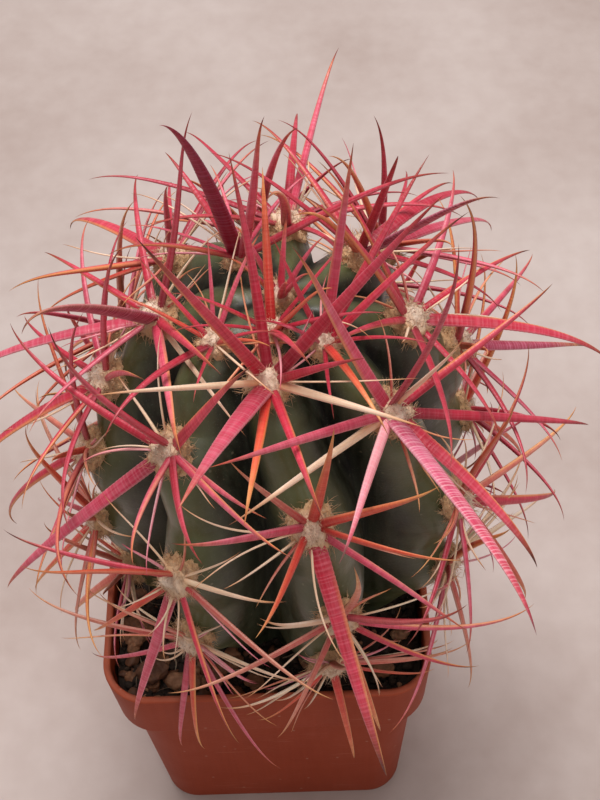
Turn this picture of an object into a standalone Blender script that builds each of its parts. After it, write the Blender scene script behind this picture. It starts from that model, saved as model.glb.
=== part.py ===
"""Potted round cactus: a ribbed barrel stem with clusters of long curved spines, in a square pot.

Metres, +Z up. The origin is the middle of the pot's foot, and -Y is the front.
Azimuths turn from the front towards +X. Heights on the stem are measured from the soil.
"""

import math
import random
from typing import NamedTuple

import bmesh
import bpy
import numpy as np
from mathutils import Matrix, Vector
from mathutils.bvhtree import BVHTree

MM = 0.001
DEG = math.radians(1)
SHARP_ANGLE = 40 * DEG  # edges that turn more than this are drawn sharp
GAP = 0.3 * MM  # between pieces that rest on each other

# Pot
RIM_WIDTH = 90 * MM
FOOT_WIDTH = 76 * MM
POT_HEIGHT = 96 * MM
COLLAR_HEIGHT = 24 * MM
COLLAR_STEP = 2.5 * MM
COLLAR_TAPER = 1 * MM
RIM_CORNER = 12.5 * MM
FOOT_CORNER = 10.5 * MM
WALL = 1.5 * MM
FLOOR = 2 * MM
LIP = 2 * MM
EDGE = 0.8 * MM  # the small rounding along the rim and the foot
CORNER_STEPS = 5
DRAIN_RADIUS = 4 * MM
DRAIN_PITCH = 20 * MM  # from the middle of the foot, along X and along Y

# Soil and stones
SOIL_DROP = 10 * MM  # below the rim
SOIL_BUMP = 1.2 * MM
SOIL_RINGS = (0.97, 0.86, 0.74, 0.6, 0.45)
STONES = (  # a corner of the rim, the distances in from it along X and Y and the stone's length, in mm
    ((-1, -1), 13, 12, 10), ((-1, -1), 24, 8, 7), ((-1, -1), 8, 23, 8), ((-1, -1), 7.5, 36, 6),
    ((1, -1), 14, 11, 8), ((1, -1), 8, 21, 6), ((-1, 1), 13, 12, 9), ((1, 1), 14, 11, 8),
    ((-1, 1), 25, 7.5, 6), ((1, 1), 25, 7, 6),
)
STONE_WIDTHS = (0.68, 0.9)  # least and most, as a share of the length
STONE_HEIGHTS = (0.5, 0.7)
STONE_LUMPS = (0.9, 1.08)
STONE_RAYS = 12  # rays to each side that feel for the soil under a stone
STONE_RISE = 0.3  # middle of the room that a stone takes above the soil, as a share of its length
STONE_ROOM = 0.55  # radius of that room

# Stem: an upper and a lower half ellipse meet at the widest level
STEM_RADIUS = 45 * MM
STEM_WAIST = 62 * MM  # height of the widest level
STEM_RISE = 62 * MM  # from there to the growing tip
STEM_ROOT = 83 * MM  # the lower ellipse's half height
STEM_SUNK = 13 * MM  # how far the stem reaches into the soil
RIB_FADE = 1.5 * STEM_SUNK  # height over which the ribs grow from the foot
STEM_X = 5 * MM
STEM_Y = 1.5 * MM
STEM_LEAN = 0.035
CROWN_DIMPLE = 2 * MM
CROWN_DIMPLE_REACH = 7 * MM
RIBS = 8
FIRST_RIB = 15 * DEG
SWIRL = -26 * DEG  # how far the ribs turn between the waist and the tip
FURROW = 0.27  # depth of the furrows, as a share of the radius
CHIN = 4 * MM  # swelling under each areole
CHIN_REACH = 12 * MM
CHIN_DROP = 5 * MM
STEM_ROWS = 19
SOCKET_ROWS = 6
COLUMNS_PER_RIB = 8
SOCKET_GAP = 0.5 * MM

# Areoles: heights in mm above the soil, rib by rib, from the foot to the crown
AREOLES = (
    (26, 60, 93, 118, 122.5),
    (42, 74, 108, 120.5),
    (26, 58, 93, 112),
    (42, 76, 104, 116),
    (30, 62, 94, 115),
    (48, 80, 106, 121),
    (24, 52, 80, 98, 113),
    (38, 72, 103, 119.5),
)
PAD_RADIUS = 4.8 * MM
PAD_HEIGHT = 2.8 * MM
PAD_TAPER = 0.66  # width of a pad's top, as a share of its foot
PAD_SIDES = 9
PAD_ROOM = 1.15 * PAD_RADIUS  # that other areoles' spines leave free round a pad's middle
TANGENT_STEP = 1.2 * DEG
SEAT_RAYS = 6  # rays to each side that feel for the skin under a pad
YOUNG_HEIGHT = 119 * MM  # areoles above this are young and smaller
YOUNG_SHARE = 0.72
YOUNG_LENGTH = 0.62
YOUNG_LEAN = 0.72
LOW_HEIGHT = 32 * MM  # spines below this are shorter
LOW_SHARE = 0.8

# Spines
ROOT_HEIGHT = 0.55 * PAD_HEIGHT  # where a spine starts in its pad
ROOT_SPREAD = 0.3 * PAD_RADIUS
SPINE_SAMPLES = 32
HIDDEN_SAMPLES = 2  # inside the wool
FLAT_RINGS = (0, 8, 16, 24, 29)  # the samples that become rings on a flat spine
ROUND_RINGS = (0, 10, 20, 28)
FLAT_WIDTH = 2.9 * MM  # spines at least this wide have four sides, narrower ones have three
THICKNESS_SHARE = 0.42
LEAST_THICKNESS = 1.1 * MM
SPINE_CLEARANCE = 0.6 * MM
STEM_CLEARANCE = 0.5 * MM
TIP_HOOK = 26  # degrees that every spine bends in its last stretch
FREE_ANGLE = 34  # degrees round the areole that a spine keeps to itself
JITTER = (9, 6, 0.12, 8, 16)  # most change of an ordinary spine's clock, lean, length share, curl and sway
CLOCK_TRIES = range(-30, 31, 5)  # degrees that a spine may turn to find a clear place
LEAN_TRIES = range(-40, 21, 5)
LENGTH_TRIES = (1, 0.85, 0.7)
LEAN_COST = 1.3  # of a degree of lean, against one of clock
LENGTH_COST = 60


class Spine(NamedTuple):
    """Angles in degrees, sizes in mm.

    The clock angle turns from up to right, seen from outside, and the lean is from the outward line.
    Towards the tip the curl adds to the lean, and the sway to the clock angle.
    """

    clock: float
    lean: float
    length: float
    width: float
    curl: float
    sway: float = 0


PATTERN = (  # the spines of an ordinary areole
    Spine(180, 64, 52, 3.4, 34),
    Spine(0, 58, 46, 2.6, 10),
    Spine(272, 68, 42, 2.1, 20),
    Spine(92, 68, 42, 2.1, 18),
    Spine(318, 64, 40, 1.9, 12),
    Spine(44, 64, 39, 1.9, 12),
    Spine(226, 72, 38, 1.8, 14),
    Spine(136, 70, 39, 1.8, 12),
)

# The spines that give the plant its look: (rib, step up the rib) and their shapes
SHAPED = {
    (0, 0): (Spine(45, 65, 38, 1.8, 0), Spine(175, 65, 42, 2.4, 10), Spine(325, 60, 37, 1.6, 5)),
    (0, 1): (Spine(40, 45, 42, 2.8, 15), Spine(325, 60, 40, 2, 5), Spine(170, 80, 48, 2.4, 10)),
    (0, 2): (
        Spine(170, 80, 66, 4.2, 15), Spine(300, 40, 46, 2.4, 0), Spine(58, 45, 41, 2.4, 0),
        Spine(10, 50, 40, 2.6, 0), Spine(330, 50, 37, 1.8, 5), Spine(240, 22, 34, 2, 5),
        Spine(82, 35, 42, 1.6, 10),
    ),
    (0, 3): (
        Spine(200, 25, 51, 4.4, 15), Spine(255, 35, 46, 1.6, 0), Spine(105, 45, 45, 2, 0),
        Spine(315, 25, 58, 3, 0), Spine(45, 48, 60, 3, 0), Spine(178, 45, 43, 2.2, -15),
        Spine(140, 45, 46, 2.2, -15), Spine(80, 30, 34, 2.2, 10),
    ),
    (0, 4): (Spine(130, 30, 34, 3, 0), Spine(350, 50, 34, 2.4, 0)),
    (1, 0): (Spine(5, 70, 45, 2.6, -20), Spine(200, 65, 40, 2, 10), Spine(115, 80, 48, 2.4, -10)),
    (1, 1): (Spine(135, 72, 46, 2.8, 30), Spine(170, 82, 52, 2.8, 10), Spine(0, 60, 48, 2.6, -10)),
    (1, 2): (
        Spine(220, 30, 72, 4.6, 5), Spine(345, 55, 58, 3.2, -15), Spine(20, 22, 56, 3, 15),
        Spine(295, 62, 62, 2.4, -15), Spine(130, 85, 58, 2.6, 30), Spine(255, 60, 44, 2.6, -10),
        Spine(278, 82, 46, 2, -10), Spine(50, 22, 30, 1.4, 0),
    ),
    (1, 3): (Spine(45, 22, 51, 2.6, -15), Spine(100, 40, 43, 2.2, 0), Spine(68, 62, 45, 2.2, 0)),
    (2, 1): (Spine(180, 60, 41, 2.6, 20), Spine(115, 60, 48, 2.4, -15)),
    (2, 2): (Spine(160, 78, 58, 3, -10), Spine(0, 50, 54, 2.8, 15), Spine(125, 60, 41, 2, 10)),
    (3, 3): (Spine(290, 35, 52, 3.8, 0), Spine(330, 35, 50, 2.4, 0), Spine(0, 50, 47, 2.2, 10)),
    (4, 3): (Spine(180, 62, 46, 2.4, 25), Spine(200, 30, 44, 2.2, 10)),
    (5, 2): (Spine(75, 65, 47, 2.6, 0), Spine(15, 55, 41, 2.2, 0), Spine(142, 85, 38, 2, 10)),
    (5, 3): (
        Spine(55, 15, 60, 4.2, 15), Spine(330, 50, 60, 2.6, 5), Spine(5, 25, 54, 2.6, -15),
        Spine(75, 45, 45, 2, 10),
    ),
    (6, 1): (Spine(190, 70, 50, 2.2, 0), Spine(160, 75, 45, 2, 10)),
    (6, 2): (
        Spine(190, 65, 50, 2.6, 45), Spine(240, 70, 36, 2, 0), Spine(70, 60, 58, 2.4, 30),
        Spine(45, 50, 30, 1.8, 10),
    ),
    (6, 4): (
        Spine(75, 35, 69, 4.2, 15), Spine(345, 45, 53, 2.6, -15), Spine(70, 85, 50, 2.6, -10),
        Spine(40, 75, 38, 2.2, 10), Spine(52, 88, 44, 1.4, 5),
    ),
    (7, 0): (
        Spine(185, 75, 48, 2.4, 5), Spine(170, 70, 43, 2, 15), Spine(335, 65, 38, 1.8, 0),
        Spine(62, 80, 40, 1.6, 5),
    ),
    (7, 1): (
        Spine(185, 85, 53, 3.4, 0), Spine(340, 38, 56, 2.2, -10), Spine(55, 70, 39, 1.6, 5),
        Spine(212, 88, 43, 2, 10),
    ),
    (7, 2): (
        Spine(205, 88, 64, 3.6, 15), Spine(335, 20, 50, 2.6, 15), Spine(95, 45, 42, 2.4, 10),
        Spine(80, 60, 54, 1.8, 5), Spine(75, 68, 34, 1.8, 10), Spine(110, 30, 42, 2.2, 10),
        Spine(30, 60, 42, 3, 0),
    ),
}
CROWN = (RIBS, 0)  # stands for the growing tip among the areoles
CROWN_SPINES = 6
CROWN_SPINE = Spine(17, 24, 19, 1.8, 10)

PARTS = "potted_round_cactus"
HELPERS = "helpers"


# --- Scene, materials and meshes ---------------------------------------------------------------


def clear_scene():
    for obj in list(bpy.data.objects):
        bpy.data.objects.remove(obj, do_unlink=True)
    for name in (PARTS, HELPERS):
        bpy.context.scene.collection.children.link(bpy.data.collections.new(name))


def material(name, colour, roughness):
    made = bpy.data.materials.new(name)
    made.use_nodes = True
    shader = made.node_tree.nodes["Principled BSDF"]
    shader.inputs["Base Color"].default_value = (*colour, 1)
    shader.inputs["Roughness"].default_value = roughness
    shader.inputs["Metallic"].default_value = 0
    return made


def add_object(name, mesh, collection=PARTS, finish=None):
    obj = bpy.data.objects.new(name, mesh)
    bpy.data.collections[collection].objects.link(obj)
    if finish:
        mesh.materials.append(finish)
    if collection == HELPERS:
        obj.hide_render = True
        obj.display_type = "WIRE"
    return obj


def mesh_from(shape, name):
    """Turns a bmesh into a mesh with its faces pointing out, and frees it."""
    bmesh.ops.recalc_face_normals(shape, faces=shape.faces)
    mesh = bpy.data.meshes.new(name)
    shape.to_mesh(mesh)
    shape.free()
    mesh.shade_smooth()
    mesh.set_sharp_from_angle(angle=SHARP_ANGLE)
    return mesh


def combine(obj, helper, operation, overlapping_helper=False):
    """Applies a Boolean of obj with helper, and removes the helper."""
    boolean = obj.modifiers.new(operation.title(), "BOOLEAN")
    boolean.operation = operation
    boolean.solver = "EXACT"
    boolean.use_self = overlapping_helper
    boolean.object = helper
    bpy.context.view_layer.update()
    result = bpy.data.meshes.new_from_object(obj.evaluated_get(bpy.context.evaluated_depsgraph_get()))
    obj.modifiers.clear()
    obj.data = result
    bpy.data.objects.remove(helper, do_unlink=True)


def loft(shape, rings, cap_end=True):
    """Joins closed rings of points, all with the same count, into one skin."""
    rows = [[shape.verts.new(point) for point in ring] for ring in rings]
    for low, high in zip(rows, rows[1:]):
        for i in range(len(low)):
            j = (i + 1) % len(low)
            shape.faces.new((low[i], low[j], high[j], high[i]))
    shape.faces.new(list(reversed(rows[0])))
    if cap_end:
        shape.faces.new(rows[-1])
    return rows


# --- Pot ---------------------------------------------------------------------------------------


def rounded_square(width, corner, z):
    half = width / 2 - corner
    ring = []
    for quarter, (x, y) in enumerate(((1, 1), (-1, 1), (-1, -1), (1, -1))):
        for step in range(CORNER_STEPS + 1):
            angle = math.pi / 2 * (quarter + step / CORNER_STEPS)
            ring.append((x * half + corner * math.cos(angle), y * half + corner * math.sin(angle), z))
    return ring


def body_width(z):
    """Outer width of the pot below its collar, as if it ran on to the rim."""
    top_width = RIM_WIDTH - 2 * COLLAR_STEP
    return FOOT_WIDTH + (top_width - FOOT_WIDTH) * z / POT_HEIGHT


def collar_width(z):
    """Outer width of the collar."""
    return RIM_WIDTH - 2 * COLLAR_TAPER * (POT_HEIGHT - z) / COLLAR_HEIGHT


def corner_radius(z):
    return FOOT_CORNER + (RIM_CORNER - FOOT_CORNER) * z / POT_HEIGHT


def inner_profile():
    """(width, corner, z) of the pot's inside, from the floor up to the lip."""
    step = POT_HEIGHT - COLLAR_HEIGHT
    ledge = step + COLLAR_STEP
    return [
        (body_width(FLOOR) - 2 * WALL, corner_radius(FLOOR) - WALL, FLOOR),
        (body_width(step) - 2 * WALL, corner_radius(step) - WALL, step),
        (collar_width(ledge) - 2 * LIP, corner_radius(ledge) - LIP, ledge),
        (RIM_WIDTH - 2 * LIP, RIM_CORNER - LIP, POT_HEIGHT - EDGE),
    ]


def inner_width(z):
    """Width of the pot's inside at a height above its ledge."""
    (low, _, low_z), (high, _, high_z) = inner_profile()[2:]
    return low + (high - low) * (z - low_z) / (high_z - low_z)


def make_pot(finish):
    step = POT_HEIGHT - COLLAR_HEIGHT
    outer = [
        (FOOT_WIDTH - 2 * EDGE, FOOT_CORNER, 0),
        (body_width(EDGE), FOOT_CORNER, EDGE),
        (body_width(step), corner_radius(step), step),
        (collar_width(step) - 2 * EDGE, corner_radius(step), step),
        (collar_width(step + EDGE), corner_radius(step), step + EDGE),
        (RIM_WIDTH, RIM_CORNER, POT_HEIGHT - EDGE),
        (RIM_WIDTH - 2 * EDGE, RIM_CORNER, POT_HEIGHT),
    ]
    inner_edge = (RIM_WIDTH - 2 * LIP + EDGE, RIM_CORNER - LIP, POT_HEIGHT)
    profile = outer + [inner_edge] + inner_profile()[::-1]
    shape = bmesh.new()
    loft(shape, [rounded_square(*section) for section in profile])
    pot = add_object("pot", mesh_from(shape, "pot"), finish=finish)

    holes = bmesh.new()
    for x in (-DRAIN_PITCH, DRAIN_PITCH):
        for y in (-DRAIN_PITCH, DRAIN_PITCH):
            bmesh.ops.create_cone(
                holes, cap_ends=True, segments=12, radius1=DRAIN_RADIUS, radius2=DRAIN_RADIUS,
                depth=4 * FLOOR, matrix=Matrix.Translation((x, y, 0)),
            )
    combine(pot, add_object("drain_holes", mesh_from(holes, "drain_holes"), HELPERS), "DIFFERENCE")
    return pot


# --- Stem --------------------------------------------------------------------------------------

SOIL_Z = POT_HEIGHT - SOIL_DROP


def profile(turn):
    """Radius, height above the soil and half height of the ellipse at a profile angle."""
    rise = STEM_RISE if turn > 0 else STEM_ROOT
    return STEM_RADIUS * math.cos(turn), STEM_WAIST + rise * math.sin(turn), rise


def turn_at(height):
    rise = STEM_RISE if height > STEM_WAIST else STEM_ROOT
    return math.asin(max(-1, min(1, (height - STEM_WAIST) / rise)))


def rib_azimuth(rib, turn):
    return FIRST_RIB + 2 * math.pi * rib / RIBS + SWIRL * max(0, math.sin(turn)) ** 2


def bare_surface(azimuth, turn):
    """Point and rough outward direction on the ribbed stem without its chins."""
    radius, height, rise = profile(turn)
    wave = abs(math.cos(RIBS * (azimuth - rib_azimuth(0, turn)) / 2))
    fade = min(1, max(0, (height + STEM_SUNK) / RIB_FADE))
    ribbed = radius * (1 - FURROW * (1 - wave) * fade)
    height -= CROWN_DIMPLE * math.exp(-((radius / CROWN_DIMPLE_REACH) ** 2)) * (turn > 0)
    sin_az, cos_az = math.sin(azimuth), math.cos(azimuth)
    point = np.array([
        ribbed * sin_az + STEM_X + STEM_LEAN * height, STEM_Y - ribbed * cos_az, height + SOIL_Z,
    ])
    across = rise * math.cos(turn)
    along = STEM_RADIUS * math.sin(turn)
    outward = np.array([across * sin_az, -across * cos_az, along]) / math.hypot(across, along)
    return point, outward


def chin_centres():
    centres = []
    for rib, heights in enumerate(AREOLES):
        for height in heights:
            turn = turn_at(height * MM - CHIN_DROP)
            centres.append(bare_surface(rib_azimuth(rib, turn), turn)[0])
    return np.array(centres)


CHINS = chin_centres()


def stem_surface(azimuth, turn, offset=0.0):
    point, outward = bare_surface(azimuth, turn)
    nearest = ((CHINS - point) ** 2).sum(axis=1).min()
    return point + outward * (CHIN * math.exp(-nearest / CHIN_REACH**2) + offset)


def stem_skin(first_turn, last_turn, rows, offset):
    """Rings of points up the stem, whose columns follow the ribs."""
    columns = RIBS * COLUMNS_PER_RIB
    rings = []
    for row in range(rows):
        turn = first_turn + (last_turn - first_turn) * row / (rows - 1)
        start = rib_azimuth(0, turn)
        rings.append([
            stem_surface(start + 2 * math.pi * column / columns, turn, offset)
            for column in range(columns)
        ])
    return rings


def make_stem(finish):
    foot = turn_at(-STEM_SUNK)
    tip = math.pi / 2
    last = tip - (tip - foot) / STEM_ROWS / 2
    shape = bmesh.new()
    rows = loft(shape, stem_skin(foot, last, STEM_ROWS, 0), cap_end=False)
    apex = shape.verts.new(stem_surface(0, tip))
    for i, corner in enumerate(rows[-1]):
        shape.faces.new((corner, rows[-1][(i + 1) % len(rows[-1])], apex))
    return add_object("stem", mesh_from(shape, "stem"), finish=finish)


# --- Soil and stones ---------------------------------------------------------------------------


def soil_height(x, y):
    """Level of the soil at a place: shallow heaps of two sizes."""
    coarse = math.sin(x / (9 * MM) + 0.7) * math.cos(y / (11 * MM) - 0.4)
    fine = math.sin(x / (4.1 * MM) - 1.1) * math.sin(y / (4.7 * MM) + 0.5)
    return SOIL_Z + SOIL_BUMP * (0.7 * coarse + 0.3 * fine)


def make_soil(finish):
    floor, body, ledge, _ = inner_profile()
    top_width = inner_width(SOIL_Z)
    top_corner = ledge[1]
    sections = [
        (floor[0] - 2 * GAP, floor[1] - GAP, FLOOR + GAP),
        (body[0] - 2 * GAP, body[1] - GAP, body[2]),
        (ledge[0] - 2 * GAP, ledge[1] - GAP, ledge[2] + GAP),
        (top_width - 2 * GAP, top_corner - GAP, SOIL_Z - SOIL_BUMP),
    ]
    rings = [rounded_square(*section) for section in sections]
    for share in SOIL_RINGS:
        flat = rounded_square(top_width * share, top_corner * share, 0)
        rings.append([(x, y, soil_height(x, y)) for x, y, _ in flat])
    shape = bmesh.new()
    loft(shape, rings)
    soil = add_object("soil", mesh_from(shape, "soil"), finish=finish)

    foot = turn_at(-STEM_SUNK)
    socket = bmesh.new()
    rings = stem_skin(foot, turn_at(SOIL_DROP), SOCKET_ROWS, SOCKET_GAP)
    below = [point - np.array([0, 0, SOCKET_GAP]) for point in rings[0]]
    loft(socket, [below, *rings])
    combine(soil, add_object("socket", mesh_from(socket, "socket"), HELPERS), "DIFFERENCE")
    return soil


def mesh_tree(obj):
    return BVHTree.FromObject(obj, bpy.context.evaluated_depsgraph_get())


def stone_places():
    """x, y and length of each stone."""
    return [
        (side_x * (RIM_WIDTH / 2 - in_x * MM), side_y * (RIM_WIDTH / 2 - in_y * MM), length * MM)
        for (side_x, side_y), in_x, in_y, length in STONES
    ]


def make_stones(soil, finish):
    """Gravel lying on the soil, each stone lowered until it is a gap away."""
    ground = mesh_tree(soil)
    up, down = Vector((0, 0, 1)), Vector((0, 0, -1))
    rays = range(-STONE_RAYS, STONE_RAYS + 1)
    for index, (x, y, length) in enumerate(stone_places()):
        chance = random.Random(40 + index)
        shape = bmesh.new()
        bmesh.ops.create_icosphere(shape, subdivisions=2, radius=length / 2)
        squash = Vector((1, chance.uniform(*STONE_WIDTHS), chance.uniform(*STONE_HEIGHTS)))
        turn = Matrix.Rotation(chance.uniform(0, math.pi), 3, "Z")
        for vert in shape.verts:
            vert.co = turn @ (vert.co * squash * chance.uniform(*STONE_LUMPS))
        stone = BVHTree.FromBMesh(shape)
        drops = []
        pitch = length / 2 / STONE_RAYS
        for dx, dy in ((pitch * i, pitch * j) for i in rays for j in rays):
            under = stone.ray_cast(Vector((dx, dy, -length)), up)[0]
            soil_hit = ground.ray_cast(Vector((x + dx, y + dy, POT_HEIGHT)), down)[0]
            if under and soil_hit:
                drops.append(soil_hit.z - under.z)
        place = Vector((x, y, max(drops) + GAP))
        bmesh.ops.translate(shape, verts=shape.verts, vec=place)
        name = f"stone_{index + 1:02d}"
        add_object(name, mesh_from(shape, name), finish=finish)


# --- Spine clusters ----------------------------------------------------------------------------


class Seat(NamedTuple):
    """Where a wool pad sits: its base's middle, its outward, up and right directions and its size."""

    base: np.ndarray
    outward: np.ndarray
    up: np.ndarray
    side: np.ndarray
    share: float


def unit(vector):
    return vector / np.linalg.norm(vector)


def seat_at(skin, azimuth, turn, share):
    """The pad's seat: a plane across the areole, a gap above the highest point of the skin under the pad."""
    step = TANGENT_STEP
    middle = stem_surface(azimuth, turn)
    if turn < math.pi / 2:
        along = stem_surface(azimuth, turn + step) - stem_surface(azimuth, turn - step)
        around = stem_surface(azimuth + step, turn) - stem_surface(azimuth - step, turn)
        up, outward = unit(along), unit(np.cross(around, along))
    else:
        up, outward = np.array([0.0, 1.0, 0.0]), np.array([0.0, 0.0, 1.0])
    side = np.cross(up, outward)
    reach = PAD_RADIUS * share
    lifts = []
    for i in range(-SEAT_RAYS, SEAT_RAYS + 1):
        for j in range(-SEAT_RAYS, SEAT_RAYS + 1):
            if i * i + j * j > SEAT_RAYS**2:
                continue
            offset = (side * i + up * j) * reach / SEAT_RAYS
            start = middle + offset + outward * 2 * PAD_RADIUS
            hit = skin.ray_cast(Vector(start), Vector(-outward))[0]
            if hit:
                lifts.append((np.array(hit) - middle) @ outward)
    return Seat(middle + outward * (max(lifts) + GAP), outward, up, side, share)


def areole_seats(stem):
    skin = mesh_tree(stem)
    seats = {}
    for rib, heights in enumerate(AREOLES):
        for step, height in enumerate(heights):
            turn = turn_at(height * MM)
            share = YOUNG_SHARE if height * MM > YOUNG_HEIGHT else 1
            seats[rib, step] = seat_at(skin, rib_azimuth(rib, turn), turn, share)
    seats[CROWN] = seat_at(skin, 0, math.pi / 2, YOUNG_SHARE)
    return seats


def clock_difference(a, b):
    return abs((a - b + 180) % 360 - 180)


def spines_of(rib, step):
    """The areole's own shaped spines, then ordinary ones in the directions left free."""
    if (rib, step) == CROWN:
        turns = [360 * index / CROWN_SPINES for index in range(CROWN_SPINES)]
        return CROWN_SPINES, [CROWN_SPINE._replace(clock=CROWN_SPINE.clock + turn) for turn in turns]
    chance = random.Random(100 * rib + step)
    height = AREOLES[rib][step] * MM
    shaped = list(SHAPED.get((rib, step), ()))
    spines = list(shaped)
    young = height > YOUNG_HEIGHT
    share = YOUNG_LENGTH if young else LOW_SHARE if height < LOW_HEIGHT else 1
    for ordinary in PATTERN:
        clock, lean, length, curl, sway = (chance.uniform(-1, 1) * most for most in JITTER)
        if any(clock_difference(ordinary.clock, spine.clock) < FREE_ANGLE for spine in shaped):
            continue
        spines.append(Spine(
            ordinary.clock + clock,
            (YOUNG_LEAN if young else 1) * ordinary.lean + lean,
            share * ordinary.length * (1 + length),
            share * ordinary.width,
            ordinary.curl + curl,
            sway,
        ))
    return len(shaped), spines


def clock_direction(seat, clock):
    return seat.up * math.cos(clock * DEG) + seat.side * math.sin(clock * DEG)


def spine_line(seat, spine):
    """Points along the middle of a spine, from inside the wool to its tip."""
    first = clock_direction(seat, spine.clock)
    start = seat.base + (seat.outward * ROOT_HEIGHT + first * ROOT_SPREAD) * seat.share
    along = (np.arange(SPINE_SAMPLES) + 0.5) / SPINE_SAMPLES
    lean = (spine.lean + spine.curl * along**1.5 + TIP_HOOK * along**7) * DEG
    clock = (spine.clock + spine.sway * along**1.5) * DEG
    tangent = np.outer(np.cos(clock), seat.up) + np.outer(np.sin(clock), seat.side)
    steps = np.cos(lean)[:, None] * seat.outward + np.sin(lean)[:, None] * tangent
    steps *= spine.length * MM / SPINE_SAMPLES
    return np.vstack([start, start + np.cumsum(steps, axis=0)])


def half_widths(spine):
    """Half its width at each point: almost even at first, then a fine tip."""
    along = np.arange(SPINE_SAMPLES + 1) / SPINE_SAMPLES
    return spine.width * MM / 2 * (1 - along**2.4) ** 0.8


def clears_pot(points, radii):
    """True where no point is in the pot's wall, in the soil or in a stone."""
    x, y, z = np.abs(points[:, 0]), np.abs(points[:, 1]), points[:, 2]
    margin = radii + SPINE_CLEARANCE
    reach = np.maximum(x, y)
    below_rim = z < POT_HEIGHT + margin
    outside = reach > RIM_WIDTH / 2 + margin
    corner = np.hypot(x, y) < RIM_WIDTH / 2
    in_mouth = (reach < inner_width(SOIL_Z) / 2 - margin) & corner & (z > SOIL_Z + SOIL_BUMP + margin)
    if (below_rim & ~outside & ~in_mouth).any():
        return False
    for stone_x, stone_y, length in stone_places():
        centre = np.array([stone_x, stone_y, SOIL_Z + STONE_RISE * length])
        if (np.linalg.norm(points - centre, axis=1) < STONE_ROOM * length + margin).any():
            return False
    return True


def clears_stem(points, radii):
    """True where every point beyond the wool is outside the stem."""
    flat = 2 * radii[0] >= FLAT_WIDTH
    depths = radii * (THICKNESS_SHARE if flat else 1)
    for point, radius in zip(points[HIDDEN_SAMPLES:], depths[HIDDEN_SAMPLES:]):
        height = point[2] - SOIL_Z
        if not -STEM_SUNK < height < STEM_WAIST + STEM_RISE:
            continue
        x = point[0] - STEM_X - STEM_LEAN * height
        y = point[1] - STEM_Y
        turn = turn_at(height)
        skin = stem_surface(math.atan2(x, -y), turn)
        skin_x = skin[0] - STEM_X - STEM_LEAN * (skin[2] - SOIL_Z)
        lift = math.hypot(x, y) - math.hypot(skin_x, skin[1] - STEM_Y)
        if lift * math.cos(max(0, turn)) < radius + STEM_CLEARANCE:
            return False
    return True


def turns_to_try():
    """Small changes of clock, lean and length, from none to large."""
    tries = []
    for clock in CLOCK_TRIES:
        for lean in LEAN_TRIES:
            for length in LENGTH_TRIES:
                cost = abs(clock) + LEAN_COST * abs(lean) + LENGTH_COST * (1 - length)
                tries.append((cost, clock, lean, length))
    return sorted(tries)


def settle_spines(seats):
    """Gives every spine a place clear of the pot, the stem, the other pads and the spines before it."""
    waiting = []
    for key in seats:
        shaped_count, spines = spines_of(*key)
        waiting += [(index >= shaped_count, key, spine) for index, spine in enumerate(spines)]
    waiting.sort(key=lambda entry: (entry[0], -entry[2].width))
    pads = {key: seat.base + seat.outward * PAD_HEIGHT * seat.share / 2 for key, seat in seats.items()}
    placed = {key: [] for key in seats}
    taken_points, taken_radii, taken_keys = [], [], []
    tries = turns_to_try()
    for _, key, wanted in waiting:
        others = [i for i, other in enumerate(taken_keys) if other != key]
        cloud = np.concatenate([taken_points[i] for i in others]) if others else np.empty((0, 3))
        cloud_radii = np.concatenate([taken_radii[i] for i in others]) if others else np.empty(0)
        other_pads = np.array([pad for other, pad in pads.items() if other != key])
        for _, clock, lean, length in tries:
            spine = wanted._replace(
                clock=wanted.clock + clock, lean=wanted.lean + lean, length=wanted.length * length,
            )
            points, radii = spine_line(seats[key], spine), half_widths(spine)
            reach = radii[:, None] + SPINE_CLEARANCE
            from_pads = np.linalg.norm(points[:, None] - other_pads[None], axis=2)
            if (from_pads < PAD_ROOM + reach).any() or not clears_pot(points, radii):
                continue
            if len(cloud):
                squares = ((points[:, None] - cloud[None]) ** 2).sum(axis=2)
                if (squares < (reach + cloud_radii[None]) ** 2).any():
                    continue
            if clears_stem(points, radii):
                break
        else:
            print("no clear place for a spine of areole", key)
            continue
        placed[key].append((spine, points, radii))
        taken_points.append(points)
        taken_radii.append(radii)
        taken_keys.append(key)
    return placed


def add_spine(shape, seat, spine, points, radii):
    """Adds one spine's closed skin: rings of three or four corners that end in a point."""
    across = np.cross(seat.outward, clock_direction(seat, spine.clock))
    flat = spine.width * MM >= FLAT_WIDTH
    corners = 4 if flat else 3
    rows = []
    for index in FLAT_RINGS if flat else ROUND_RINGS:
        ahead = unit(points[index + 1] - points[index])
        over = np.cross(ahead, across)
        half = radii[index]
        half_thick = max(half * THICKNESS_SHARE, LEAST_THICKNESS / 2 * half / radii[0])
        if not flat:
            half_thick = half
        ring = []
        for corner in range(corners):
            angle = 2 * math.pi * corner / corners
            ring.append(points[index] + across * half * math.cos(angle) + over * half_thick * math.sin(angle))
        rows.append([shape.verts.new(point) for point in ring])
    tip = shape.verts.new(points[-1])
    for low, high in zip(rows, rows[1:]):
        for i in range(corners):
            j = (i + 1) % corners
            shape.faces.new((low[i], low[j], high[j], high[i]))
    for i in range(corners):
        shape.faces.new((rows[-1][i], rows[-1][(i + 1) % corners], tip))
    shape.faces.new(list(reversed(rows[0])))


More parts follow.
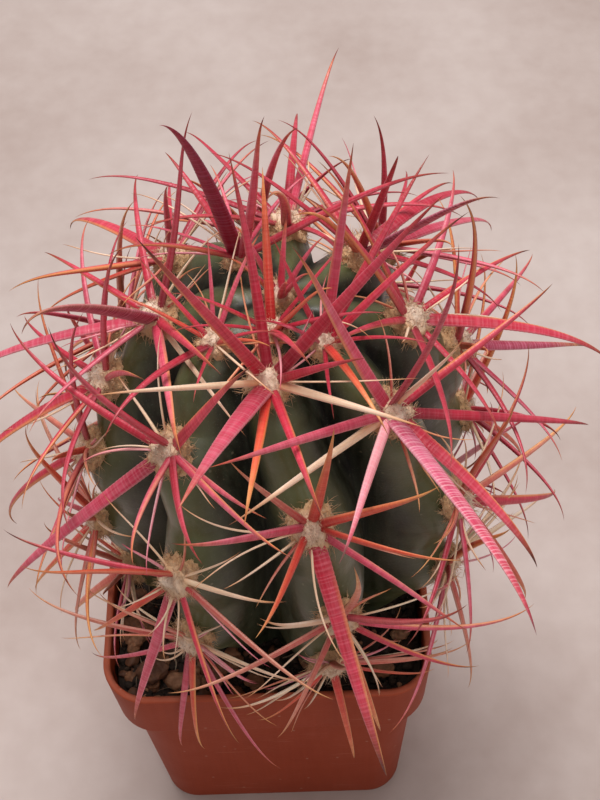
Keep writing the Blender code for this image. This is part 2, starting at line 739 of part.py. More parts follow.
def make_cluster(name, seat, spines, finish):
    """A wool pad and its spines, united into one body."""
    axes = Matrix((seat.side, seat.up, seat.outward)).transposed().to_4x4()
    height = PAD_HEIGHT * seat.share
    place = Matrix.Translation(seat.base + seat.outward * height / 2) @ axes
    shape = bmesh.new()
    bmesh.ops.create_cone(
        shape, cap_ends=True, segments=PAD_SIDES, radius1=PAD_RADIUS * seat.share,
        radius2=PAD_RADIUS * seat.share * PAD_TAPER, depth=height, matrix=place,
    )
    pad = add_object(name, mesh_from(shape, name), finish=finish)
    shape = bmesh.new()
    for spine, points, radii in spines:
        add_spine(shape, seat, spine, points, radii)
    helper = add_object(name + "_spines", mesh_from(shape, name + "_spines"), HELPERS)
    combine(pad, helper, "UNION", overlapping_helper=True)
    pad.data.name = name
    return pad


def make_clusters(stem, finish):
    seats = areole_seats(stem)
    for key, spines in settle_spines(seats).items():
        name = "crown_tuft" if key == CROWN else f"spine_cluster_{key[0] + 1}{'abcde'[key[1]]}"
        make_cluster(name, seats[key], spines, finish)


def main():
    clear_scene()
    make_pot(material("terracotta_plastic", (0.33, 0.09, 0.05), 0.5))
    stem = make_stem(material("green_skin", (0.09, 0.13, 0.08), 0.5))
    soil = make_soil(material("dark_soil", (0.04, 0.025, 0.02), 0.95))
    make_stones(soil, material("gravel", (0.38, 0.28, 0.22), 0.85))
    make_clusters(stem, material("red_spines", (0.5, 0.09, 0.13), 0.5))


main()
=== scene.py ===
"""Potted round cactus: the looks of a ribbed barrel stem with clusters of long banded spines in a square pot.

Metres, +Z up. The origin is the middle of the pot's foot, and -Y is the front.
Azimuths turn from the front towards +X. Heights on the stem are measured from the soil.
"""

import logging
import math
import random
from dataclasses import dataclass, field, replace
from enum import Enum
from functools import cache
from typing import Iterable, NamedTuple, Sequence

import bmesh
import bpy
import numpy as np
from mathutils import Matrix, Vector, noise
from mathutils.bvhtree import BVHTree


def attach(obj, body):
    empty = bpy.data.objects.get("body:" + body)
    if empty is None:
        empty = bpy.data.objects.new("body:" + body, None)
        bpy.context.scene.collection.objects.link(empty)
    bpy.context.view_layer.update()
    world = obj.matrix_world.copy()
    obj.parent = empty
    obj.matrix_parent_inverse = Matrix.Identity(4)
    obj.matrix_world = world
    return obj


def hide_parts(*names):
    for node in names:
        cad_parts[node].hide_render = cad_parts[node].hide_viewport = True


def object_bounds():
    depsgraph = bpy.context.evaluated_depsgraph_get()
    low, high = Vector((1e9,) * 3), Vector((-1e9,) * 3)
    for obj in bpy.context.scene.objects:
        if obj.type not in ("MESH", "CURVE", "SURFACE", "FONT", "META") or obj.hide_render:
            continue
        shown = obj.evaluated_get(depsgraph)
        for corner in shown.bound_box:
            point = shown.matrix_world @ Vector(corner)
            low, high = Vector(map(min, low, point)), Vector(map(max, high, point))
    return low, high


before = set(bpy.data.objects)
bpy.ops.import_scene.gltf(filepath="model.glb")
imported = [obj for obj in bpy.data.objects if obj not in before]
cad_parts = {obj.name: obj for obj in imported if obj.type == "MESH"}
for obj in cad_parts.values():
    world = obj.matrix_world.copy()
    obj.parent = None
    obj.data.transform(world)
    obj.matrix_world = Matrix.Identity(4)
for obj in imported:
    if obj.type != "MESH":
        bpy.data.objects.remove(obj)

CAD_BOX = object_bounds()
BODY = "root"
MM = 0.001
DEG = math.radians(1)
TURN = 2 * math.pi
RING_PITCH = 1.15  # mm between the rings across a spine
SOIL_DROP = 10 * MM  # from the pot's rim down to the soil
LOG = logging.getLogger("cactus")

Colour = tuple[float, float, float, float]
Faces = list[tuple[int, ...]]
Areole = tuple[int, int]
Socket = bpy.types.NodeSocket
Material = bpy.types.Material
Piece = bpy.types.Object


class Slot(Enum):
    """The record's material slots."""

    POT = "terracotta_plastic"
    SOIL = "dark_soil"
    STONE = "gravel"
    SKIN = "green_skin"
    SPINE = "red_spines"


class Tone(Enum):
    """The colourings that a spine can have."""

    CRIMSON = 0
    PINK = 1
    LILAC = 2
    PURPLE = 3
    MAROON = 4
    CORAL = 5
    AMBER = 6
    IVORY = 7
    BLUSH = 8


CRIMSON, PINK, LILAC, PURPLE, MAROON, CORAL, AMBER, IVORY, BLUSH = Tone


# --- Shapes ------------------------------------------------------------------------------------


def unit(vectors: np.ndarray) -> np.ndarray:
    """The same directions with a length of one."""
    return vectors / np.linalg.norm(vectors, axis=-1, keepdims=True)


def smooth(share: np.ndarray) -> np.ndarray:
    """A soft step from 0 to 1 while share goes from 0 to 1."""
    held = np.clip(share, 0, 1)
    return held * held * (3 - 2 * held)


def rough_field(points: np.ndarray, size: float, shift: float = 0.0) -> np.ndarray:
    """Smooth random values at points.

    Args:
        points: Places, one in each row.
        size: Distance over which the value changes.
        shift: Picks another field of the same kind.

    Returns:
        A value from about -1 to 1 for each point.
    """
    return np.array([noise.noise(Vector(point) / size + Vector((shift, 0, 0))) for point in points])


def freed(shape: bmesh.types.BMesh) -> tuple[np.ndarray, Faces]:
    """Takes the points and faces out of a shape and frees it.

    Args:
        shape: The shape.

    Returns:
        The points and the faces.
    """
    shape.verts.index_update()
    points = np.array([vert.co for vert in shape.verts])
    faces = [tuple(vert.index for vert in face.verts) for face in shape.faces]
    shape.free()
    return points, faces


def ball(subdivisions: int) -> tuple[np.ndarray, Faces]:
    """Points and faces of a ball with a radius of one.

    Args:
        subdivisions: How finely its faces are split.

    Returns:
        The points and the faces.
    """
    shape = bmesh.new()
    bmesh.ops.create_icosphere(shape, subdivisions=subdivisions, radius=1)
    return freed(shape)


def walls(rows: int, count: int) -> Faces:
    """Faces between rings of points, which lie one after the other.

    Args:
        rows: Count of rings.
        count: Points in each ring.

    Returns:
        The faces.
    """
    faces: Faces = []
    for low in range(0, (rows - 1) * count, count):
        high = low + count
        for i in range(count):
            j = (i + 1) % count
            faces.append((low + i, low + j, high + j, high + i))
    return faces


def lofted(rings: np.ndarray) -> tuple[np.ndarray, Faces]:
    """A closed skin through rings of points.

    Args:
        rings: The rings, as an array of rows, points and axes.

    Returns:
        The points and the faces, with a cap at each end.
    """
    rows, count = rings.shape[:2]
    caps = [tuple(reversed(range(count))), tuple(range((rows - 1) * count, rows * count))]
    return rings.reshape(-1, 3), walls(rows, count) + caps


def level_ring(reach: np.ndarray, angles: np.ndarray, z: float) -> np.ndarray:
    """Points at one height, at a distance from the middle in each direction."""
    return np.stack([reach * np.cos(angles), reach * np.sin(angles), np.full_like(angles, z)], axis=1)


def square_reach(half: float, corner: float, angles: np.ndarray) -> np.ndarray:
    """Distance from the middle of a rounded square to its outline.

    Args:
        half: Half the square's width.
        corner: Radius of its corners.
        angles: Directions, in radians.

    Returns:
        The distance in each direction.
    """
    x, y = np.abs(np.cos(angles)), np.abs(np.sin(angles))
    long, short = np.maximum(x, y), np.minimum(x, y)
    inset = half - corner
    middle = inset * (x + y)
    round_part = middle + np.sqrt(np.maximum(0, middle**2 - 2 * inset**2 + corner**2))
    return np.where(half * short / long <= inset, half / long, round_part)


def linked(name: str, data: bpy.types.ID) -> bpy.types.Object:
    """Makes an object in the scene.

    Args:
        name: The object's name.
        data: Its mesh, light or camera.

    Returns:
        The object.
    """
    made = bpy.data.objects.new(name, data)
    bpy.context.scene.collection.objects.link(made)
    return made


def mesh_of(name: str, shape: bmesh.types.BMesh) -> bpy.types.Mesh:
    """Makes a mesh of a shape and frees the shape.

    Args:
        name: The mesh's name.
        shape: The shape.

    Returns:
        The mesh.
    """
    mesh = bpy.data.meshes.new(name)
    shape.to_mesh(mesh)
    shape.free()
    return mesh


class MeshBatch:
    """Gathers shapes into one mesh, with named values at its points."""

    def __init__(self) -> None:
        """Starts empty."""
        self.points: list[np.ndarray] = []
        self.faces: Faces = []
        self.finishes: list[int] = []
        self.values: dict[str, list[tuple[int, np.ndarray]]] = {}
        self.count = 0

    def add(self, points: np.ndarray, faces: Iterable[Sequence[int]], finish: int = 0, **values) -> None:
        """Adds one shape.

        Args:
            points: The shape's points.
            faces: Its faces, by the index of their points.
            finish: Index of its material.
            **values: A number, or one number for each point, by the value's name.
        """
        start = self.count
        self.points.append(points)
        self.faces.extend(tuple(start + i for i in face) for face in faces)
        self.finishes.extend([finish] * (len(self.faces) - len(self.finishes)))
        for name, value in values.items():
            self.values.setdefault(name, []).append((start, np.broadcast_to(value, len(points))))
        self.count += len(points)

    def add_tube(
        self, line: np.ndarray, across: np.ndarray, half_width: np.ndarray, half_depth: np.ndarray,
        sides: int, finish: int = 0, **values,
    ) -> None:
        """Adds a closed skin round a line, which ends in a point.

        Args:
            line: Points along its middle.
            across: Direction of its width.
            half_width: Half its width at each point.
            half_depth: Half its depth at each point.
            sides: Count of its sides.
            finish: Index of its material.
            **values: A number, or one number for each point of the line, by the value's name.
        """
        ahead = unit(np.gradient(line, axis=0))
        over = unit(np.cross(ahead, across))
        side = np.cross(over, ahead)
        angles = TURN * np.arange(sides) / sides
        rings = line[:, None] + side[:, None] * half_width[:, None, None] * np.cos(angles)[None, :, None]
        rings += over[:, None] * half_depth[:, None, None] * np.sin(angles)[None, :, None]
        rows = len(line) - 1
        top, tip = (rows - 1) * sides, rows * sides
        fan = [(top + i, top + (i + 1) % sides, tip) for i in range(sides)]
        faces = [tuple(reversed(range(sides))), *walls(rows, sides), *fan]
        for name, value in values.items():
            known = np.broadcast_to(value, len(line))
            values[name] = np.append(np.repeat(known[:-1], sides), known[-1])
        values["edge"] = np.append(np.tile(np.cos(angles), rows), 0)
        values["over"] = np.append(np.tile(np.sin(angles), rows), 0)
        self.add(np.vstack([rings[:-1].reshape(-1, 3), line[-1:]]), faces, finish, **values)

    def build(self, name: str, *finishes: Material) -> Piece:
        """Makes the object.

        Args:
            name: The object's name.
            *finishes: Its materials.

        Returns:
            The object, linked to the scene and shaded smooth.
        """
        mesh = bpy.data.meshes.new(name)
        mesh.from_pydata(np.vstack(self.points).tolist(), [], self.faces)
        for value_name, parts in self.values.items():
            known = np.zeros(self.count, dtype=np.float32)
            for start, value in parts:
                known[start : start + len(value)] = value
            mesh.attributes.new(value_name, "FLOAT", "POINT").data.foreach_set("value", known)
        for finish in finishes:
            mesh.materials.append(finish)
        mesh.polygons.foreach_set("material_index", self.finishes)
        mesh.shade_smooth()
        mesh.update()
        return linked(name, mesh)


def place(piece: Piece, slot: Slot, *nodes: str) -> None:
    """Ties a piece to the frame and reports it.

    Args:
        piece: The finished piece.
        slot: The record's slot for the piece; not used.
        *nodes: The CAD nodes that it stands for.
    """
    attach(piece, BODY)
    if nodes:
        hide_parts(*nodes)
    LOG.info("%s: %d faces", piece.name, len(piece.data.polygons))


# --- Shader building ---------------------------------------------------------------------------


def tint(code: str) -> Colour:
    """Linear colour of a display colour.

    Args:
        code: Red, green and blue as six hexadecimal digits.

    Returns:
        The linear red, green and blue, and an alpha of 1.
    """
    shown = [int(code[i : i + 2], 16) / 255 for i in (0, 2, 4)]
    red, green, blue = (((v + 0.055) / 1.055) ** 2.4 if v > 0.04045 else v / 12.92 for v in shown)
    return red, green, blue, 1.0


class Shading:
    """Adds and wires the nodes of one shader tree."""

    def __init__(self, tree: bpy.types.NodeTree) -> None:
        """Works on the given tree."""
        self.tree = tree

    def add(self, kind: str, sockets: dict | None = None, **settings) -> bpy.types.Node:
        """Adds a node.

        Args:
            kind: The node's type, without its first part.
            sockets: A value or a socket to link, by the input's name or index.
            **settings: The node's own settings.

        Returns:
            The node.
        """
        node = self.tree.nodes.new("ShaderNode" + kind)
        for name, value in settings.items():
            setattr(node, name, value)
        for name, value in (sockets or {}).items():
            self.set(node.inputs[name], value)
        return node

    def set(self, socket: Socket, value) -> None:
        """Gives a socket a value, or links another socket to it."""
        if isinstance(value, Socket):
            self.tree.links.new(value, socket)
        else:
            socket.default_value = value

    def math(self, operation: str, first, second=0.0) -> Socket:
        """The result of a sum on two numbers or sockets."""
        return self.add("Math", {0: first, 1: second}, operation=operation).outputs[0]

    def times(self, first, second) -> Socket:
        """The product of two numbers or sockets."""
        return self.math("MULTIPLY", first, second)

    def plus(self, first, second) -> Socket:
        """The sum of two numbers or sockets."""
        return self.math("ADD", first, second)

    def mix(self, share, first, second, blend: str = "MIX") -> Socket:
        """The colour between two colours, with this share of the second."""
        made = self.add("Mix", {0: share, 6: first, 7: second}, data_type="RGBA", blend_type=blend)
        return made.outputs[2]

    def lay(self, colour, mask, code: str, strength: float = 1.0) -> Socket:
        """Lays a colour over another.

        Args:
            colour: The colour below.
            mask: Where the new one shows, from 0 to 1.
            code: The new colour.
            strength: How much of it shows where the mask is 1.

        Returns:
            The mixed colour's socket.
        """
        shown = mask if strength == 1 else self.times(mask, strength)
        return self.mix(shown, colour, tint(code))

    def spread(self, value, low=0.0, high=1.0, first: float = 0.0, last: float = 1.0) -> Socket:
        """A value mapped from one range to another and held inside it.

        Args:
            value: The value to map.
            low: The value that gives first.
            high: The value that gives last.
            first: Result at the low end.
            last: Result at the high end.

        Returns:
            The result's socket.
        """
        sockets = {"Value": value, "From Min": low, "From Max": high, "To Min": first, "To Max": last}
        return self.add("MapRange", sockets).outputs[0]

    def ramp(self, value, *stops: tuple[float, str]) -> Socket:
        """A colour that follows a value.

        Args:
            value: The value, from 0 to 1.
            *stops: Positions and their colours, in order.

        Returns:
            The colour's socket.
        """
        node = self.add("ValToRGB", {"Fac": value})
        elements = node.color_ramp.elements
        while len(elements) < len(stops):
            elements.new(0.5)
        for element, (position, code) in zip(elements, stops):
            element.position, element.color = position, tint(code)
        return node.outputs["Color"]

    def here(self) -> Socket:
        """The place on the object."""
        return self.add("TexCoord").outputs["Object"]

    def apart(self, vector: Socket) -> bpy.types.NodeOutputs:
        """The X, Y and Z of a vector or colour."""
        return self.add("SeparateXYZ", {0: vector}).outputs

    def joined(self, x, y, z) -> Socket:
        """The vector of three numbers or sockets."""
        return self.add("CombineXYZ", {"X": x, "Y": y, "Z": z}).outputs[0]

    def clouds(self, where, scale, detail=0.0) -> Socket:
        """Noise from 0 to 1 at a place."""
        return self.add("TexNoise", {"Vector": where, "Scale": scale, "Detail": detail}).outputs["Fac"]

    def drift(self, distance, detail: float) -> Socket:
        """Noise from 0 to 1 that changes with a distance."""
        sockets = {"W": distance, "Scale": 1.0, "Detail": detail}
        return self.add("TexNoise", sockets, noise_dimensions="1D").outputs["Fac"]

    def cells(self, scale) -> bpy.types.NodeOutputs:
        """The distance and colour of scattered cells."""
        return self.add("TexVoronoi", {"Vector": self.here(), "Scale": scale}).outputs


class Effect(Shading):
    """One shader group with named inputs and outputs, to be filled in by its maker."""

    def __init__(self, name: str, inputs: dict[str, float], *outputs: str) -> None:
        """Makes the group and its sockets.

        Args:
            name: The group's name.
            inputs: Each input's name and its value when nothing else is given.
            *outputs: Names of the outputs.
        """
        super().__init__(bpy.data.node_groups.new(name, "ShaderNodeTree"))
        sockets = self.tree.interface
        for key, value in inputs.items():
            sockets.new_socket(key, in_out="INPUT", socket_type="NodeSocketFloat").default_value = value
        for key in outputs:
            sockets.new_socket(key, in_out="OUTPUT", socket_type="NodeSocketFloat")
        self.given = self.tree.nodes.new("NodeGroupInput").outputs
        self.result = self.tree.nodes.new("NodeGroupOutput").inputs

    def put(self, name: str, socket: Socket) -> None:
        """Links a socket to one of the group's outputs."""
        self.tree.links.new(socket, self.result[name])


class Effects:
    """The shader groups that the finishes share."""

    def __init__(self) -> None:
        """Builds each group once."""
        self.mottle = self.make_mottle()
        self.grain = self.make_grain()
        self.dust = self.make_dust()
        self.rings = self.make_rings()
        self.streaks = self.make_streaks()
        self.fibres = self.make_fibres()

    @staticmethod
    def make_mottle() -> bpy.types.NodeTree:
        """Soft cloudy patches, from 0 to 1.

        Returns:
            The group.
        """
        made = Effect("mottle", {"Scale": 60.0, "Detail": 4.0, "Sharpness": 0.5}, "Value")
        cloud = made.clouds(made.here(), made.given["Scale"], made.given["Detail"])
        low = made.times(made.given["Sharpness"], 0.45)
        made.put("Value", made.spread(cloud, low, made.math("SUBTRACT", 1.0, low)))
        return made.tree

    @staticmethod
    def make_grain() -> bpy.types.NodeTree:
        """Fine relief: grains of one size with finer noise between them.

        Returns:
            The group.
        """
        made = Effect("grain", {"Scale": 900.0, "Roundness": 0.5}, "Height")
        fine = made.clouds(made.here(), made.given["Scale"], 5.0)
        round_part = made.times(made.cells(made.given["Scale"])["Distance"], made.given["Roundness"])
        made.put("Height", made.math("SUBTRACT", fine, round_part))
        return made.tree

    @staticmethod
    def make_dust() -> bpy.types.NodeTree:
        """Dust: a film on surfaces that face up, and scattered specks.

        Returns:
            The group.
        """
        made = Effect("dust", {"Film": 0.3, "Specks": 0.5, "Speck Scale": 300.0}, "Mask")
        up = made.spread(made.apart(made.add("NewGeometry").outputs["Normal"])["Z"], 0.1, 1.0)
        patchy = made.times(up, made.clouds(made.here(), 110.0, 6.0))
        cells = made.cells(made.given["Speck Scale"])
        near = made.spread(cells["Distance"], 0.1, 0.19, 1.0, 0.0)
        rare = made.math("GREATER_THAN", made.apart(cells["Color"])["X"], 0.86)
        specks = made.times(made.times(near, rare), made.given["Specks"])
        made.put("Mask", made.math("MAXIMUM", made.times(patchy, made.given["Film"]), specks))
        return made.tree

    @staticmethod
    def make_rings() -> bpy.types.NodeTree:
        """Rings across a spine: thin pale lines, uneven bands and the relief between them.

        Returns:
            The group.
        """
        made = Effect("rings", {"Distance": 0.0, "Chance": 0.0, "Pitch": 1.0}, "Line", "Band", "Height")
        reach, apart = made.given["Distance"], made.times(made.given["Chance"], 60.0)
        uneven = made.times(made.drift(made.plus(made.times(reach, 0.3), apart), 2.0), 2.6)
        turns = made.plus(made.math("DIVIDE", reach, made.given["Pitch"]), uneven)
        wave = made.math("SINE", made.times(turns, TURN))
        made.put("Line", made.spread(wave, 0.35, 1.0))
        made.put("Height", made.spread(wave, -1.0, 1.0))
        bands = made.drift(made.plus(made.times(reach, 0.42), apart), 3.0)
        made.put("Band", made.spread(bands, 0.36, 0.64))
        return made.tree

    @staticmethod
    def make_streaks() -> bpy.types.NodeTree:
        """Thin streaks that run up and down.

        Returns:
            The group.
        """
        made = Effect("streaks", {"Across": 500.0, "Along": 40.0}, "Value")
        where, across = made.apart(made.here()), made.given["Across"]
        flat = (made.times(where["X"], across), made.times(where["Y"], across))
        stretched = made.joined(*flat, made.times(where["Z"], made.given["Along"]))
        made.put("Value", made.spread(made.clouds(stretched, 1.0, 3.0), 0.4, 0.7))
        return made.tree

    @staticmethod
    def make_fibres() -> bpy.types.NodeTree:
        """Lengthwise streaks on a spine, which wander slowly from side to side.

        Returns:
            The group.
        """
        inputs = {"Distance": 0.0, "Edge": 0.0, "Over": 0.0, "Chance": 0.0}
        made = Effect("fibres", inputs, "Broad", "Fine")
        given = made.given
        moved = made.plus(given["Distance"], made.times(given["Chance"], 900.0))
        for name, across, along in (("Broad", 1.1, 0.05), ("Fine", 4.0, 0.11)):
            flat = (made.times(given["Edge"], across), made.times(given["Over"], across))
            where = made.joined(*flat, made.times(moved, along))
            made.put(name, made.spread(made.clouds(where, 1.0, 2.0), 0.34, 0.66))
        return made.tree


@cache
def shared_effects() -> Effects:
    """The one set of shader groups, built at its first use."""
    return Effects()


class MaterialShading(Shading):
    """The nodes of one material: its Principled shader and the effects placed in it."""

    def __init__(self, name: str) -> None:
        """Makes the material.

        Args:
            name: The material's name.
        """
        self.material = bpy.data.materials.new(name)
        self.material.use_nodes = True
        super().__init__(self.material.node_tree)
        self.effects = shared_effects()
        self.shader = self.tree.nodes["Principled BSDF"]

    def feed(self, name: str, value) -> None:
        """Sets or links one of the shader's inputs."""
        self.set(self.shader.inputs[name], value)

    def values(self, names: str) -> list[Socket]:
        """The numbers that the mesh holds at each point under these names."""
        return [self.add("Attribute", attribute_name=name).outputs["Fac"] for name in names.split()]

    def group(self, tree: bpy.types.NodeTree, **sockets) -> dict[str, Socket]:
        """Places a shader group.

        Args:
            tree: The group.
            **sockets: A value or a socket for each input, by its name.

        Returns:
            The group's outputs by name.
        """
        node = self.add("Group", node_tree=tree)
        for name, value in sockets.items():
            self.set(node.inputs[name.replace("_", " ")], value)
        return {out.name: out for out in node.outputs}

    def mottle(self, scale: float, detail: float, sharpness: float) -> Socket:
        """Soft cloudy patches."""
        return self.group(self.effects.mottle, Scale=scale, Detail=detail, Sharpness=sharpness)["Value"]

    def streaks(self, across: float, along: float) -> Socket:
        """Thin upright streaks, or lying ones if along is the larger."""
        return self.group(self.effects.streaks, Across=across, Along=along)["Value"]

    def dust(self, film: float, specks: float, speck_scale: float) -> Socket:
        """Dust and specks."""
        sockets = {"Film": film, "Specks": specks, "Speck_Scale": speck_scale}
        return self.group(self.effects.dust, **sockets)["Mask"]

    def grain(self, scale: float, roundness: float) -> Socket:
        """Fine relief."""
        return self.group(self.effects.grain, Scale=scale, Roundness=roundness)["Height"]

    def relief(self, height, distance: float, strength: float) -> None:
        """Feeds a relief to the shader.

        Args:
            height: The relief, from 0 to 1.
            distance: Height of the relief in metres.
            strength: How strongly it shows.
        """
        bump = self.add("Bump", {"Height": height, "Distance": distance, "Strength": strength})
        self.feed("Normal", bump.outputs["Normal"])


# --- Finishes ----------------------------------------------------------------------------------


@dataclass(frozen=True)
class Finish:
    """What every finish has: its name and the plain settings of its surface."""

    name: str
    roughness: float = 0.5
    specular: float = 0.5
    coat: float = 0.0
    coat_roughness: float = 0.3

    def make(self) -> Material:
        """Builds the material.

        Returns:
            The material.
        """
        shade = MaterialShading(self.name)
        shade.feed("Roughness", self.roughness)
        shade.feed("Specular IOR Level", self.specular)
        shade.feed("Coat Weight", self.coat)
        shade.feed("Coat Roughness", self.coat_roughness)
        self.paint(shade)
        return shade.material

    def paint(self, shade: MaterialShading) -> None:
        """Feeds what changes over the surface to the material's shader."""
        raise NotImplementedError


@dataclass(frozen=True, kw_only=True)
class SpineFinish(Finish):
    """A spine's colours from its root to its tip, with rings across it."""

    root: str
    lower: str
    upper: str
    tip: str
    line: str
    point: str = "4A2A1C"
    deep: str = "D08088"
    margin: str = "E8A458"
    margins: float = 0.65
    lines: float = 0.15
    bands: float = 0.45
    broad_streaks: float = 0.45
    fine_streaks: float = 0.13
    painted_edge_highlight: float = 0.34
    shift: float = 0.16
    # share of the painted highlight along both edges of a spine
    darkest: float = 0.92
    value_range: float = 0.28
    wear: float = 0.15
    ring_height: float = 0.08 * MM

    def paint(self, shade: MaterialShading) -> None:
        """Feeds the colours, rings and streaks to the material's shader.

        Args:
            shade: The material's nodes.
        """
        along, reach, chance, edge, over, wide = shade.values("along reach chance edge over wide")
        effects = shade.effects
        rings = shade.group(effects.rings, Distance=reach, Chance=chance, Pitch=RING_PITCH)
        fibres = shade.group(effects.fibres, Distance=reach, Edge=edge, Over=over, Chance=chance)
        before_tip = shade.spread(along, 0.72, 0.95, 1.0, 0.0)
        shift = shade.times(shade.math("SUBTRACT", chance, 0.5), self.shift)
        colour = shade.ramp(
            shade.plus(along, shift), (0.02, self.root), (0.22, self.lower), (0.68, self.upper),
            (0.92, self.tip), (1.0, self.point),
        )
        dark = shade.mix(1.0, colour, tint(self.deep), "MULTIPLY")
        colour = shade.mix(shade.times(rings["Band"], self.bands), colour, dark)
        colour = shade.lay(colour, fibres["Broad"], self.root, self.broad_streaks)
        colour = shade.lay(colour, shade.times(fibres["Fine"], before_tip), self.line, self.fine_streaks)
        shown = shade.times(before_tip, shade.spread(wide, 0.0, 1.0, 0.3 * self.lines, self.lines))
        colour = shade.lay(colour, shade.times(rings["Line"], shown), self.line)
        # Painted highlight: the pale line colour laid along both edges of each spine, short of its tip.
        edge_highlight_mask = shade.spread(shade.math("ABSOLUTE", edge), 0.75, 1.0)
        colour = shade.lay(colour, shade.times(edge_highlight_mask, before_tip), self.line, self.painted_edge_highlight)
        one_side = shade.times(shade.spread(edge, 0.45, 0.95), shade.spread(chance, 0.35, 0.65))
        along_edge = shade.times(one_side, shade.spread(along, 0.1, 0.35))
        colour = shade.lay(colour, along_edge, self.margin, self.margins)
        value = shade.plus(self.darkest, shade.times(chance, self.value_range))
        colour = shade.add("HueSaturation", {"Color": colour, "Value": value}).outputs["Color"]
        shade.feed("Base Color", colour)
        worn = self.roughness + self.wear
        shade.feed("Roughness", shade.spread(rings["Band"], first=self.roughness, last=worn))
        height = shade.plus(rings["Height"], shade.times(fibres["Fine"], 0.6))
        shade.relief(height, self.ring_height, 0.35)


@dataclass(frozen=True)
class WoolFinish(Finish):
    """Felted wool: creamy in the middle, tan at its rim."""

    middle: str = "FAE2CC"
    rim: str = "E4B888"
    # painted shade in the pad's hollows, and the colour of the darker loose fibres
    hollow_shade_and_fibre_tone: str = "B07E56"
    patchiness: float = 0.3
    hollow_shade_and_fibre_share: float = 0.4
    sheen: float = 0.3
    felt_height: float = 0.4 * MM

    def paint(self, shade: MaterialShading) -> None:
        """Feeds the colours and the felt to the material's shader.

        Args:
            shade: The material's nodes.
        """
        patches = shade.mottle(260.0, 5.0, 0.8)
        outer, chance = shade.values("outer chance")
        share = shade.plus(shade.spread(outer, 0.35, 1.15), shade.times(patches, self.patchiness))
        colour = shade.lay(tint(self.middle), shade.math("MINIMUM", share, 1.0), self.rim)
        # Painted shade: the pad is darker in its hollows, where its chance is high. The loose fibres' chance
        # is random, so some fibres are just darker.
        colour = shade.lay(colour, shade.spread(chance, 0.6, 1.0), self.hollow_shade_and_fibre_tone, self.hollow_shade_and_fibre_share)
        shade.feed("Base Color", colour)
        shade.feed("Sheen Weight", self.sheen)
        shade.relief(shade.grain(2400.0, 0.2), self.felt_height, 0.8)


@dataclass(frozen=True)
class SkinFinish(Finish):
    """Waxy green skin: dull in the furrows, with painted shade making them near black and a painted highlight
    paling the crests.
    """

    # furrow paints shade into the furrows, and crest paints a highlight along the crests
    furrow: str = "050604"
    flank: str = "191E0E"
    crest: str = "5A6034"
    low: str = "444A2C"
    # the wax's bloom on the streaks; bloom and a painted sheen on the crests
    bloom_and_sheen: str = "6C745C"
    pore: str = "A9B49A"
    dirt: str = "A29A80"
    scar: str = "6E5C3C"
    patchiness: float = 0.22
    low_share: float = 0.35
    bloom_and_sheen_share: float = 0.3
    streak_share: float = 0.2
    pore_share: float = 0.08
    scar_share: float = 0.6
    streak_wear: float = 0.16
    furrow_wear: float = 0.5
    wrinkle_height: float = 0.12 * MM

    def paint(self, shade: MaterialShading) -> None:
        """Feeds the colours, the wax and the wrinkles to the material's shader.

        Args:
            shade: The material's nodes.
        """
        crest, height = shade.values("crest height")
        cloudy = shade.math("SUBTRACT", shade.mottle(55.0, 5.0, 0.7), 0.5)
        uneven = shade.plus(crest, shade.times(cloudy, self.patchiness))
        # Painted shade and highlight: near black in the furrows where shade falls, and paler along the crests
        # where light catches.
        colour = shade.ramp(uneven, (0.08, self.furrow), (0.6, self.flank), (1.0, self.crest))
        colour = shade.lay(colour, shade.spread(height, 0.75, 0.2), self.low, self.low_share)
        # Pale bluish colour in patches on the crests: partly the wax's bloom, partly a painted sheen.
        bloom_and_sheen = shade.times(shade.spread(crest, 0.3, 0.9), shade.mottle(90.0, 3.0, 0.9))
        colour = shade.lay(colour, bloom_and_sheen, self.bloom_and_sheen, self.bloom_and_sheen_share)
        streaks = shade.streaks(420.0, 38.0)
        colour = shade.lay(colour, streaks, self.bloom_and_sheen, self.streak_share)
        pores = shade.spread(shade.cells(1500.0)["Distance"], 0.1, 0.28, 1.0, 0.0)
        colour = shade.lay(colour, pores, self.pore, self.pore_share)
        colour = shade.lay(colour, shade.dust(0.12, 0.3, 420.0), self.dirt)
        scars = shade.spread(shade.mottle(130.0, 6.0, 1.6), 0.72, 0.95)
        old_scars = shade.times(scars, shade.spread(height, 0.4, 0.1))
        colour = shade.lay(colour, old_scars, self.scar, self.scar_share)
        shade.feed("Base Color", colour)
        streaked = shade.spread(streaks, first=self.roughness, last=self.roughness + self.streak_wear)
        dull = shade.spread(crest, 0.35, 0.05, 0.0, self.furrow_wear)
        shade.feed("Roughness", shade.plus(streaked, dull))
        shade.feed("Coat Weight", shade.spread(crest, 0.25, 0.7, 0.0, self.coat))
        wrinkles = shade.times(shade.streaks(60.0, 420.0), 0.5)
        shade.relief(shade.plus(shade.grain(900.0, 0.3), wrinkles), self.wrinkle_height, 0.5)


